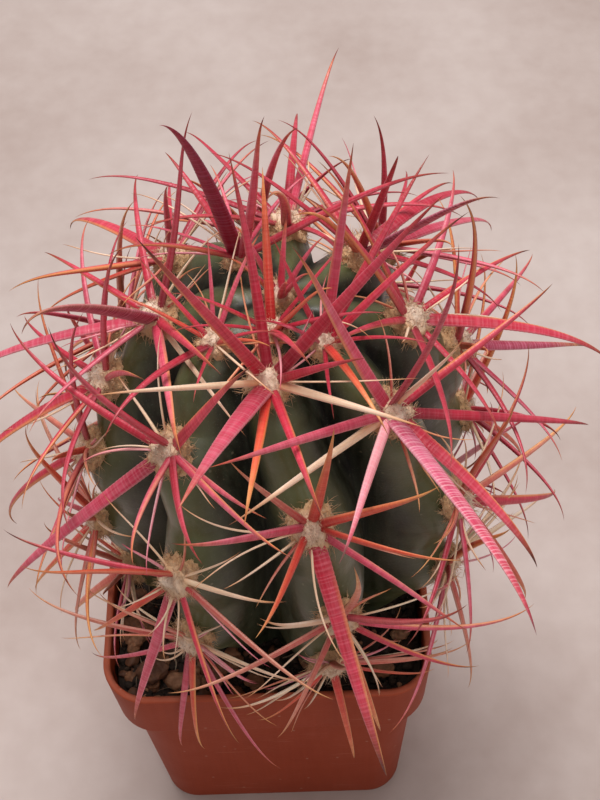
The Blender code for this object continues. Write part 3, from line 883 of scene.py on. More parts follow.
@dataclass(frozen=True, kw_only=True)
class PotFinish(Finish):
    """Moulded terracotta-coloured plastic with dust, scuffs and soil stains inside."""

    soil_line: float
    rim: float
    plastic: str = "9C3C1E"
    deep: str = "8A341A"
    lip_highlight_and_streak: str = "BC5232"
    # paints the highlight on the top of the lip, and colours the faint upright streaks
    stain: str = "1E120D"
    dirt: str = "C9A793"
    rubbed: str = "CE8A72"
    cloud_share: float = 0.5
    lip_highlight_share: float = 0.7
    streak_share: float = 0.1
    rubbed_share: float = 0.3
    cloud_wear: float = 0.12
    dust_wear: float = 0.3
    grain_height: float = 0.06 * MM

    def paint(self, shade: MaterialShading) -> None:
        """Feeds the colours, the dust and the wear to the material's shader.

        Args:
            shade: The material's nodes.
        """
        z = shade.apart(shade.here())["Z"]
        clouds = shade.mottle(38.0, 4.0, 0.6)
        colour = shade.lay(tint(self.plastic), clouds, self.deep, self.cloud_share)
        # Painted highlight: the top of the lip is paler, where light falls on it.
        lip = shade.spread(z, self.rim - 1.2 * MM, self.rim - 0.2 * MM)
        colour = shade.lay(colour, lip, self.lip_highlight_and_streak, self.lip_highlight_share)
        colour = shade.lay(colour, shade.streaks(900.0, 30.0), self.lip_highlight_and_streak, self.streak_share)
        below = shade.spread(z, self.rim - 1 * MM, self.soil_line + 4 * MM, 0.25, 1.0)
        patchy = shade.times(below, shade.spread(shade.mottle(240.0, 6.0, 0.9), 0.1, 0.6))
        colour = shade.lay(colour, shade.times(shade.values("inside")[0], patchy), self.stain)
        dust = shade.dust(0.22, 0.4, 330.0)
        colour = shade.lay(colour, dust, self.dirt)
        scuffs = shade.spread(shade.streaks(70.0, 1500.0), 0.75, 1.0)
        rare = shade.spread(shade.mottle(45.0, 2.0, 1.3), 0.6, 0.9)
        colour = shade.lay(colour, shade.times(scuffs, rare), self.rubbed, self.rubbed_share)
        shade.feed("Base Color", colour)
        dull = shade.plus(shade.times(clouds, self.cloud_wear), shade.times(dust, self.dust_wear))
        shade.feed("Roughness", shade.plus(dull, self.roughness))
        shade.relief(shade.grain(1300.0, 0.6), self.grain_height, 0.5)


@dataclass(frozen=True, kw_only=True)
class EarthFinish(Finish):
    """Peat, grit or roots: three colours by each piece's chance, mottled and grainy."""

    dark: str
    middle: str
    pale: str
    grain_height: float
    dirt: str = "9A7C66"
    by_piece: float = 0.75
    by_patch: float = 0.3
    wear: float = 0.12

    def paint(self, shade: MaterialShading) -> None:
        """Feeds the colours and the grain to the material's shader.

        Args:
            shade: The material's nodes.
        """
        clouds = shade.mottle(330.0, 6.0, 0.8)
        chance = shade.values("chance")[0]
        mixed = shade.plus(shade.times(chance, self.by_piece), shade.times(clouds, self.by_patch))
        colour = shade.ramp(mixed, (0.1, self.dark), (0.6, self.middle), (1.0, self.pale))
        fine = shade.grain(900.0, 0.5)
        # Painted shade: darker in the low parts of the grain relief, between the grains.
        colour = shade.lay(colour, shade.spread(fine, 0.1, 0.5, 0.5, 0.0), self.dark)
        colour = shade.lay(colour, shade.dust(0.12, 0.3, 500.0), self.dirt)
        shade.feed("Base Color", colour)
        shade.feed("Roughness", shade.spread(clouds, first=self.roughness - self.wear, last=self.roughness))
        shade.relief(fine, self.grain_height, 0.9)


@dataclass(frozen=True)
class FloorFinish(Finish):
    """Pale matte floor with faint patches."""

    pale: str = "D6C7C1"
    deep: str = "B8A49C"
    broad_share: float = 0.7
    fine_share: float = 0.25
    grain_height: float = 0.2 * MM

    def paint(self, shade: MaterialShading) -> None:
        """Feeds the patches to the material's shader.

        Args:
            shade: The material's nodes.
        """
        broad, fine = shade.mottle(9.0, 5.0, 0.7), shade.mottle(110.0, 3.0, 0.6)
        share = shade.plus(shade.times(broad, self.broad_share), shade.times(fine, self.fine_share))
        shade.feed("Base Color", shade.lay(tint(self.pale), share, self.deep))
        shade.relief(fine, self.grain_height, 0.15)


SKIN_FINISH = SkinFinish("green_skin_look", 0.36, specular=0.35, coat=0.4, coat_roughness=0.22)
WOOL_FINISH = WoolFinish("wool_look", 0.9)
PEAT_FINISH = EarthFinish(
    "dark_soil_look", 0.95, dark="17100C", middle="2C1E17", pale="4A3426", grain_height=0.3 * MM
)
GRIT_FINISH = EarthFinish(
    "gravel_look", 0.8, dark="5C3826", middle="96613F", pale="C89672", grain_height=0.2 * MM
)
ROOT_FINISH = EarthFinish(
    "rootlet_look", 0.8, dark="6E5844", middle="A48C72", pale="D6C4AC", grain_height=0.1 * MM
)
FLOOR_FINISH = FloorFinish("floor_look", 0.8, specular=0.3)
SPINE_FINISHES = {
    CRIMSON: SpineFinish(
        "crimson_spine", 0.3, root="960A28", lower="C81C3A", upper="DA3E56", tip="9C4A30", line="FA9AA6"
    ),
    PINK: SpineFinish(
        "pink_spine", 0.3, root="B4183C", lower="E04466", upper="EA667E", tip="D27A4A", line="FFC4CA",
        lines=0.14,
    ),
    LILAC: SpineFinish(
        "lilac_spine", 0.34, root="AE2650", lower="DC7092", upper="DC4664", tip="C03A3E", line="FFD6DC",
        lines=0.42, bands=0.5, margins=0.1,
    ),
    PURPLE: SpineFinish(
        "purple_spine", 0.34, root="860F34", lower="AA284E", upper="B43A56", tip="BC7C50", line="EAA4B8",
        lines=0.42, bands=0.5, margins=0.2,
    ),
    MAROON: SpineFinish(
        "maroon_spine", 0.34, root="A40E34", lower="8E183C", upper="982A48", tip="BC4E66", line="BC7490",
        lines=0.28, bands=0.5, margins=0.0,
    ),
    CORAL: SpineFinish(
        "coral_spine", 0.3, root="B4101C", lower="DE3630", upper="E66640", tip="E8AE68", line="FFC09C",
        point="A8703E", lines=0.12, bands=0.3,
    ),
    AMBER: SpineFinish(
        "amber_spine", 0.32, root="C0343A", lower="DA6658", upper="EC9C80", tip="E0AE6C", line="FFE0C8",
        point="A0683C", lines=0.12, bands=0.3,
    ),
    IVORY: SpineFinish(
        "ivory_spine", 0.38, root="E2A070", lower="FCE2BC", upper="FCDEC4", tip="D89A68", line="FFFAF0",
        point="9A5A3C", deep="F0D4BC", lines=0.12, bands=0.12, margins=0.25,
    ),
    BLUSH: SpineFinish(
        "blush_spine", 0.38, root="D8707C", lower="F6ACB4", upper="F28C9C", tip="C44058", line="FFECEA",
        deep="E8B0B4", lines=0.24, bands=0.2, margins=0.2,
    ),
}


# --- Pot ---------------------------------------------------------------------------------------


class Corner(NamedTuple):
    """A corner of the pot's section: half width, height, corner radius in plan and rounding."""

    half: float
    z: float
    corner: float
    rounding: float = 0


@dataclass
class Pot:
    """Square tapered pot with a collar, a rolled lip and four drain holes."""

    rim_width: float = 90 * MM
    foot_width: float = 76 * MM
    height: float = 96 * MM
    collar_height: float = 24 * MM
    collar_step: float = 2.5 * MM
    collar_taper: float = 1 * MM
    rim_corner: float = 12.5 * MM
    foot_corner: float = 10.5 * MM
    wall: float = 1.5 * MM
    floor: float = 2 * MM
    lip: float = 2 * MM
    edge: float = 0.8 * MM
    drain_radius: float = 4 * MM
    drain_pitch: float = 20 * MM
    drain_sides: int = 40
    columns: int = 240
    round_steps: int = 6
    sharp_angle: float = 50 * DEG

    @property
    def step(self) -> float:
        """Height of the collar's lower edge."""
        return self.height - self.collar_height

    def body_width(self, z: float) -> float:
        """Outer width below the collar, as if it ran on to the rim."""
        top = self.rim_width - 2 * self.collar_step
        return self.foot_width + (top - self.foot_width) * z / self.height

    def collar_width(self, z: float) -> float:
        """Outer width of the collar."""
        return self.rim_width - 2 * self.collar_taper * (self.height - z) / self.collar_height

    def corner_radius(self, z: float) -> float:
        """Outer radius of the corners, seen from above."""
        return self.foot_corner + (self.rim_corner - self.foot_corner) * z / self.height

    def inner_width(self, z: float) -> float:
        """Width of the inside at a height above its ledge.

        Args:
            z: The height.

        Returns:
            The width.
        """
        ledge, top = self.step + self.collar_step, self.height - self.edge
        low, high = self.collar_width(ledge) - 2 * self.lip, self.rim_width - 2 * self.lip
        return low + (high - low) * (z - ledge) / (top - ledge)

    def section(self) -> list[Corner]:
        """The corners of the section, from the middle of the foot round the lip to the inner floor.

        Returns:
            The corners.
        """
        step, ledge, corner = self.step, self.step + self.collar_step, self.corner_radius
        inside = self.body_width(self.floor) / 2 - self.wall, self.foot_corner - self.wall
        return [
            Corner(self.foot_width / 4, 0, self.foot_corner / 2),
            Corner(self.foot_width / 2, 0, self.foot_corner, 1.4 * MM),
            Corner(self.body_width(step) / 2, step - 0.3 * MM, corner(step), 0.8 * MM),
            Corner(self.collar_width(step) / 2, step, corner(step), 1.1 * MM),
            Corner(self.rim_width / 2, self.height, self.rim_corner, 0.9 * MM),
            Corner(self.rim_width / 2 - self.lip, self.height, self.rim_corner - self.lip, 0.9 * MM),
            Corner(self.inner_width(ledge) / 2, ledge, corner(ledge) - self.lip, 1 * MM),
            Corner(self.body_width(step) / 2 - self.wall, step, corner(step) - self.wall, 1 * MM),
            Corner(inside[0], self.floor, inside[1], 2 * MM),
            Corner(inside[0] / 2, self.floor, inside[1] / 2),
        ]

    def rounded(self) -> list[np.ndarray]:
        """The section as rows of half width, height and corner radius, with its corners rounded.

        Returns:
            The rows.
        """
        corners = self.section()
        rows = [np.array(corners[0][:3])]
        for before, here, after in zip(corners, corners[1:], corners[2:]):
            middle, ends = np.array(here[:3]), []
            for other in (before, after):
                towards = np.array(other[:3]) - middle
                ends.append(middle + towards * min(0.45, here.rounding / np.linalg.norm(towards[:2])))
            for t in np.arange(self.round_steps + 1) / self.round_steps:
                rows.append((1 - t) ** 2 * ends[0] + 2 * t * (1 - t) * middle + t * t * ends[1])
        return [*rows, np.array(corners[-1][:3])]

    def make_skin(self, finish: Material) -> Piece:
        """Makes the pot without its drain holes.

        Args:
            finish: Its material.

        Returns:
            The pot.
        """
        angles = TURN * np.arange(self.columns) / self.columns
        rows = self.rounded()
        rings = [level_ring(square_reach(half, corner, angles), angles, z) for half, z, corner in rows]
        points, faces = lofted(np.array(rings))
        outside_rows = 2 + 4 * (self.round_steps + 1)
        inside = np.repeat(np.arange(len(rows)) >= outside_rows, self.columns)
        batch = MeshBatch()
        batch.add(points, faces, inside=inside.astype(float))
        return batch.build("moulded_pot", finish)

    def drill(self, pot: Piece) -> None:
        """Cuts the drain holes through the floor.

        Args:
            pot: The pot without its holes.
        """
        shape = bmesh.new()
        for x in (-self.drain_pitch, self.drain_pitch):
            for y in (-self.drain_pitch, self.drain_pitch):
                bmesh.ops.create_cone(
                    shape, cap_ends=True, segments=self.drain_sides, radius1=self.drain_radius,
                    radius2=self.drain_radius, depth=4 * self.floor, matrix=Matrix.Translation((x, y, 0)),
                )
        drills = linked("drills", mesh_of("drills", shape))
        cut = pot.modifiers.new("drain_holes", "BOOLEAN")
        cut.object, cut.operation, cut.solver = drills, "DIFFERENCE", "EXACT"
        bpy.context.view_layer.update()
        result = bpy.data.meshes.new_from_object(pot.evaluated_get(bpy.context.evaluated_depsgraph_get()))
        pot.modifiers.clear()
        pot.data = result
        bpy.data.objects.remove(drills, do_unlink=True)

    def dress(self, soil_z: float) -> None:
        """Builds the pot in its finish.

        Args:
            soil_z: Level of the soil.
        """
        finish = PotFinish("terracotta_plastic_look", 0.5, specular=0.2, soil_line=soil_z, rim=self.height)
        pot = self.make_skin(finish.make())
        self.drill(pot)
        pot.data.set_sharp_from_angle(angle=self.sharp_angle)
        place(pot, Slot.POT, "pot")


# --- Stem --------------------------------------------------------------------------------------

AREOLES = (  # heights in mm above the soil, rib by rib, from the foot to the crown
    (26, 60, 93, 118, 122.5),
    (42, 74, 108, 120.5),
    (26, 58, 93, 112),
    (42, 76, 104, 116),
    (30, 62, 94, 115),
    (48, 80, 106, 121),
    (24, 52, 80, 98, 113),
    (38, 72, 103, 119.5),
)


@dataclass
class Stem:
    """Ribbed barrel: an upper and a lower half ellipse that meet at the widest level."""

    soil_z: float
    radius: float = 45 * MM
    waist: float = 62 * MM
    rise: float = 62 * MM
    root: float = 83 * MM
    sunk: float = 13 * MM
    middle_x: float = 5 * MM
    middle_y: float = 1.5 * MM
    lean: float = 0.035
    dimple: float = 2 * MM
    dimple_reach: float = 7 * MM
    ribs: int = 8
    first_rib: float = 15 * DEG
    swirl: float = -26 * DEG
    furrow: float = 0.27
    chin: float = 4 * MM
    chin_reach: float = 12 * MM
    chin_drop: float = 5 * MM
    softness: float = 0.0
    lump: float = 0.28 * MM
    wrinkle: float = 0.09 * MM
    rows: int = 150
    columns: int = 384
    chins: np.ndarray = field(init=False)

    def __post_init__(self) -> None:
        """Finds the middle of each swelling under an areole."""
        centres = []
        for rib, heights in enumerate(AREOLES):
            for height in heights:
                turn = self.turn_at(height * MM - self.chin_drop)
                centres.append(self.bare(self.rib_azimuth(rib, turn), turn)[0])
        self.chins = np.array(centres)

    def turn_at(self, height) -> np.ndarray:
        """Profile angle at a height above the soil."""
        rise = np.where(np.asarray(height) > self.waist, self.rise, self.root)
        return np.arcsin(np.clip((height - self.waist) / rise, -1, 1))

    def rib_azimuth(self, rib: int, turn) -> np.ndarray:
        """Azimuth of a rib's crest at a profile angle."""
        return self.first_rib + TURN * rib / self.ribs + self.swirl * np.maximum(0, np.sin(turn)) ** 2

    def wave(self, azimuth, turn) -> np.ndarray:
        """How near a place is to a rib's crest.

        Args:
            azimuth: Azimuths.
            turn: Profile angles.

        Returns:
            0 in the furrows and 1 on the crests.
        """
        plain = np.cos(self.ribs * (azimuth - self.rib_azimuth(0, turn)) / 2)
        soft = self.softness
        return (np.hypot(plain, soft) - soft) / (math.hypot(1, soft) - soft)

    def bare(self, azimuth, turn) -> tuple[np.ndarray, np.ndarray]:
        """Points and rough outward directions on the ribbed stem without its swellings.

        Args:
            azimuth: Azimuths.
            turn: Profile angles.

        Returns:
            The points and the directions.
        """
        azimuth, turn = np.broadcast_arrays(np.asarray(azimuth, float), np.asarray(turn, float))
        rise = np.where(turn > 0, self.rise, self.root)
        radius = self.radius * np.cos(turn)
        height = self.waist + rise * np.sin(turn)
        fade = np.clip((height + self.sunk) / (1.5 * self.sunk), 0, 1)
        ribbed = radius * (1 - self.furrow * (1 - self.wave(azimuth, turn)) * fade)
        height = height - self.dimple * np.exp(-((radius / self.dimple_reach) ** 2)) * (turn > 0)
        sin_az, cos_az = np.sin(azimuth), np.cos(azimuth)
        x = ribbed * sin_az + self.middle_x + self.lean * height
        point = np.stack([x, self.middle_y - ribbed * cos_az, height + self.soil_z], axis=-1)
        across, along = rise * np.cos(turn), self.radius * np.sin(turn)
        outward = np.stack([across * sin_az, -across * cos_az, along], axis=-1)
        return point, outward / np.hypot(across, along)[..., None]

    def surface(self, azimuth, turn, offset=0.0) -> np.ndarray:
        """Points on the stem's skin, swellings included.

        Args:
            azimuth: Azimuths.
            turn: Profile angles.
            offset: Distance outside the skin.

        Returns:
            The points.
        """
        point, outward = self.bare(azimuth, turn)
        nearest = np.full(point.shape[:-1], np.inf)
        for centre in self.chins:
            nearest = np.minimum(nearest, ((centre - point) ** 2).sum(axis=-1))
        swell = self.chin * np.exp(-nearest / self.chin_reach**2) + offset
        return point + outward * np.asarray(swell)[..., None]

    def clears(self, points: np.ndarray, radii: np.ndarray, clearance: float) -> bool:
        """Whether every point is outside the stem.

        Args:
            points: Points along a spine.
            radii: Half its thickness at each.
            clearance: Distance that it keeps.

        Returns:
            True if none is inside.
        """
        height = points[:, 2] - self.soil_z
        near = (height > -self.sunk) & (height < self.waist + self.rise)
        x = points[:, 0] - self.middle_x - self.lean * height
        y = points[:, 1] - self.middle_y
        turn = self.turn_at(height)
        skin = self.surface(np.arctan2(x, -y), turn)
        skin_x = skin[:, 0] - self.middle_x - self.lean * (skin[:, 2] - self.soil_z)
        lift = np.hypot(x, y) - np.hypot(skin_x, skin[:, 1] - self.middle_y)
        close = lift * np.cos(np.maximum(0, turn)) < radii + clearance
        return not (near & close).any()

    def dress(self) -> None:
        """Builds the stem in its finish, with softer and deeper furrows than the CAD stem's."""
        seen = replace(self, softness=0.1, furrow=0.3, chin=4.8 * MM)
        foot = float(self.turn_at(-self.sunk))
        last = math.pi / 2 - (math.pi / 2 - foot) / self.rows / 2
        turns = np.linspace(foot, last, self.rows)[:, None]
        azimuths = self.rib_azimuth(0, turns) + TURN * np.arange(self.columns)[None] / self.columns
        crest = self.wave(azimuths, turns)
        flat = seen.surface(azimuths, turns).reshape(-1, 3)
        lumps = self.lump * rough_field(flat, 9 * MM)
        lumps += self.wrinkle * rough_field(flat * (1, 1, 2.4), 2.6 * MM, 7)
        points, faces = lofted(seen.surface(azimuths, turns, lumps.reshape(crest.shape)))
        height = (points[:, 2] - self.soil_z) / (self.waist + self.rise)
        batch = MeshBatch()
        batch.add(points, faces, crest=crest.ravel(), height=height)
        place(batch.build("barrel_stem", SKIN_FINISH.make()), Slot.SKIN, "stem")


# --- Soil, grit and stones ---------------------------------------------------------------------

STONES = (  # x and y from the pot's middle and the stone's length, in mm
    (-32, -33, 10), (-21, -37, 7), (-37, -22, 8), (-37.5, -9, 6), (31, -34, 8),
    (37, -24, 6), (-32, 33, 9), (31, 34, 8), (-20, 37.5, 6), (20, 38, 6),
)
STONE_RISE = 0.3  # middle of the room that a stone takes above the soil, as a share of its length
STONE_ROOM = 0.55  # radius of that room


def stone_rooms(soil_z: float) -> list[tuple[np.ndarray, float]]:
    """Middle and radius of the room that each stone takes on the soil at this level."""
    places = [(np.array([x, y, STONE_RISE * size]) * MM + (0, 0, soil_z), size * MM) for x, y, size in STONES]
    return [(middle, STONE_ROOM * size) for middle, size in places]


class Scatter(NamedTuple):
    """Loose bits on the soil: name, count, smallest and largest size in mm, detail and pull to the left."""

    name: str
    count: int
    smallest: float
    largest: float
    detail: int
    left: float


CRUMBS = Scatter("peat_crumbs", 1500, 0.7, 3.4, 2, 0.0)
GRIT = Scatter("grit", 170, 1.4, 6.4, 3, 0.8)


@dataclass
class SoilBed:
    """The peaty soil, its crumbs and grit, dry rootlets and the larger stones on it."""

    pot: Pot
    stem: Stem
    z: float
    bump: float = 1.2 * MM
    gap: float = 0.3 * MM
    crumble: float = 0.6 * MM
    columns: int = 240
    rings: int = 70
    rootlets: int = 70
    rootlet_steps: int = 12
    rootlet_length: tuple[float, float] = (4, 15)
    rootlet_width: tuple[float, float] = (0.12, 0.3)
    rootlet_tip: float = 0.06
    chip: float = 0.16
    chip_size: float = 0.42
    pit: float = 0.035
    pit_size: float = 0.12
    seed: int = 11

    def level(self, x, y) -> np.ndarray:
        """Level of the soil at a place: shallow heaps of two sizes.

        Args:
            x: Distance to the right of the pot's middle.
            y: Distance behind it.

        Returns:
            The level.
        """
        coarse = np.sin(x / (9 * MM) + 0.7) * np.cos(y / (11 * MM) - 0.4)
        fine = np.sin(x / (4.1 * MM) - 1.1) * np.sin(y / (4.7 * MM) + 0.5)
        return self.z + self.bump * (0.7 * coarse + 0.3 * fine)

    def spot(self, chance: random.Random, left: float) -> tuple[float, float]:
        """A random place on the soil, outside the stem.

        Args:
            chance: The source of random numbers.
            left: From 0 to 1, how much the front left is preferred.

        Returns:
            The place's x and y.
        """
        half = self.pot.inner_width(self.z) / 2 - 1.2 * MM
        stem = self.stem
        while True:
            x, y = chance.uniform(-half, half), chance.uniform(-half, half)
            turn = math.atan2(y, x)
            if math.hypot(x, y) > square_reach(half, self.pot.rim_corner, np.array([turn]))[0]:
                continue
            if chance.random() < left and (x > 2 * MM or y > 4 * MM):
                continue
            from_x, from_y = x - stem.middle_x, y - stem.middle_y
            skin = stem.surface(math.atan2(from_x, -from_y), float(stem.turn_at(0.0)))
            beside = math.hypot(skin[0] - stem.middle_x, skin[1] - stem.middle_y) - 0.5 * MM
            if math.hypot(from_x, from_y) > beside:
                return x, y

    def make_bed(self, finish: Material) -> None:
        """The soil itself, with a crumbly top.

        Args:
            finish: Its material.
        """
        pot = self.pot
        angles = TURN * np.arange(self.columns) / self.columns
        top_half = pot.inner_width(self.z) / 2 - self.gap
        corner = pot.rim_corner - pot.lip - self.gap
        inside = pot.wall + self.gap
        sides = (
            (pot.body_width(pot.floor) / 2 - inside, pot.floor + self.gap),
            (pot.body_width(pot.step) / 2 - inside, pot.step),
            (top_half, pot.step + pot.collar_step),
        )
        rows = [level_ring(square_reach(half, corner, angles), angles, z) for half, z in sides]
        for i in range(self.rings):
            share = 1 - 0.62 * (i / (self.rings - 1)) ** 1.1
            ring = level_ring(square_reach(top_half, corner, angles) * share, angles, 0)
            crumble = 1.1 * rough_field(ring, 3.2 * MM) + 0.8 * rough_field(ring, 1.3 * MM, 3)
            crumble += 0.5 * np.abs(rough_field(ring, 0.7 * MM, 5))
            ring[:, 2] = self.level(ring[:, 0], ring[:, 1]) + self.crumble * crumble
            rows.append(ring)
        points, faces = lofted(np.array(rows))
        batch = MeshBatch()
        batch.add(points, faces, chance=0.25 + 0.3 * np.abs(rough_field(points, 2 * MM, 9)))
        place(batch.build("peat_bed", finish), Slot.SOIL, "soil")

    def scatter(self, bits: Scatter, finish: Material, slot: Slot) -> None:
        """Makes loose bits that lie on the soil.

        Args:
            bits: What they are.
            finish: Their material.
            slot: The record's slot.
        """
        chance = random.Random(self.seed + bits.count)
        unit_points, faces = ball(bits.detail)
        batch = MeshBatch()
        for _ in range(bits.count):
            x, y = self.spot(chance, bits.left)
            size = (bits.smallest + (bits.largest - bits.smallest) * chance.random() ** 2.5) * MM
            stretch = np.array([1, chance.uniform(0.6, 0.95), chance.uniform(0.45, 0.8)])
            lumps = 1 + 0.45 * rough_field(unit_points, 0.9, chance.uniform(0, 99))
            turn = Matrix.Rotation(chance.uniform(0, TURN), 3, (chance.uniform(-0.4, 0.4), 0.2, 1))
            points = (unit_points * lumps[:, None] * stretch * size / 2) @ np.array(turn).T
            lift = size * stretch[2] * chance.uniform(0.1, 0.45)
            points += np.array([x, y, float(self.level(x, y)) + lift + 0.3 * MM])
            batch.add(points, faces, chance=chance.random())
        place(batch.build(bits.name, finish), slot)

    def make_rootlets(self, finish: Material) -> None:
        """Thin pale roots and shed bristles that lie across the soil.

        Args:
            finish: Their material.
        """
        chance = random.Random(self.seed)
        batch = MeshBatch()
        steps = self.rootlet_steps
        arch = (0.9 + 0.9 * np.sin(math.pi * np.arange(steps) / (steps - 1))) * MM
        half = self.pot.inner_width(self.z) / 2 - 1.5 * MM
        for _ in range(self.rootlets):
            x, y = self.spot(chance, 0.35)
            heading, bend = chance.uniform(0, TURN), chance.uniform(-2.5, 2.5)
            length = chance.uniform(*self.rootlet_length) * MM
            line = []
            for i in range(steps):
                line.append((x, y, float(self.level(x, y)) + arch[i]))
                x += math.cos(heading) * length / steps
                y += math.sin(heading) * length / steps
                heading += bend / steps
            if max(abs(x), abs(y)) > half:
                continue
            radius = np.linspace(chance.uniform(*self.rootlet_width), self.rootlet_tip, steps) * MM
            upward = np.array([0, 0, 1.0])
            batch.add_tube(np.array(line), upward, radius, radius, 5, chance=chance.random())
        place(batch.build("dry_rootlets", finish), Slot.SOIL)

    def make_stones(self, finish: Material) -> None:
        """Each stone on its CAD place, with chipped faces and pits.

        Args:
            finish: Their material.
        """
        names = sorted(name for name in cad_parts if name.startswith("stone_"))
        for index, name in enumerate(names):
            shape = bmesh.new()
            shape.from_mesh(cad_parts[name].data)
            bmesh.ops.remove_doubles(shape, verts=shape.verts, dist=0.01 * MM)
            for _ in range(3):
                bmesh.ops.subdivide_edges(shape, edges=shape.edges, cuts=1, use_grid_fill=True, smooth=0.35)
            bmesh.ops.triangulate(shape, faces=shape.faces)
            shape.normal_update()
            normals = np.array([vert.normal for vert in shape.verts])
            points, faces = freed(shape)
            size = float((points.max(0) - points.min(0)).max())
            chips = np.abs(rough_field(points, self.chip_size * size, 20 * index))
            pits = rough_field(points, self.pit_size * size, 20 * index + 5)
            points = points - normals * (size * (self.chip * chips + self.pit * pits))[:, None]
            batch = MeshBatch()
            batch.add(points, faces, chance=(index * 0.37) % 1)
            place(batch.build(f"gravel_{name}", finish), Slot.STONE, name)

    def dress(self) -> None:
        """Builds everything that lies in the pot, in its finish."""
        peat, grit = PEAT_FINISH.make(), GRIT_FINISH.make()
        self.make_bed(peat)
        self.scatter(CRUMBS, peat, Slot.SOIL)
        self.scatter(GRIT, grit, Slot.STONE)
        self.make_rootlets(ROOT_FINISH.make())
        self.make_stones(grit)


# --- Spines ------------------------------------------------------------------------------------


class Seat(NamedTuple):
    """Where a wool pad sits: its base's middle, its outward, up and sideways directions and its size."""

    base: np.ndarray
    outward: np.ndarray
    up: np.ndarray
    side: np.ndarray
    share: float


class Spine(NamedTuple):
    """Angles in degrees, sizes in mm.

    The clock angle turns from up to right, seen from outside, and the lean is from the outward line.
    Towards the tip the curl adds to the lean, and the sway to the clock angle.
    """

    clock: float
    lean: float
    length: float
    width: float
    curl: float
    tone: Tone = CRIMSON
    sway: float = 0


CROWN: Areole = (8, 0)
CROWN_SPINES = 6
CROWN_SPINE = Spine(17, 24, 19, 1.8, 10, PINK)
PATTERN = (  # the spines of an ordinary areole
    Spine(180, 64, 52, 3.4, 34),
    Spine(0, 58, 46, 2.6, 10),
    Spine(272, 68, 42, 2.1, 20),
    Spine(92, 68, 42, 2.1, 18),
    Spine(318, 64, 40, 1.9, 12),
    Spine(44, 64, 39, 1.9, 12),
    Spine(226, 72, 38, 1.8, 14),
    Spine(136, 70, 39, 1.8, 12),
)

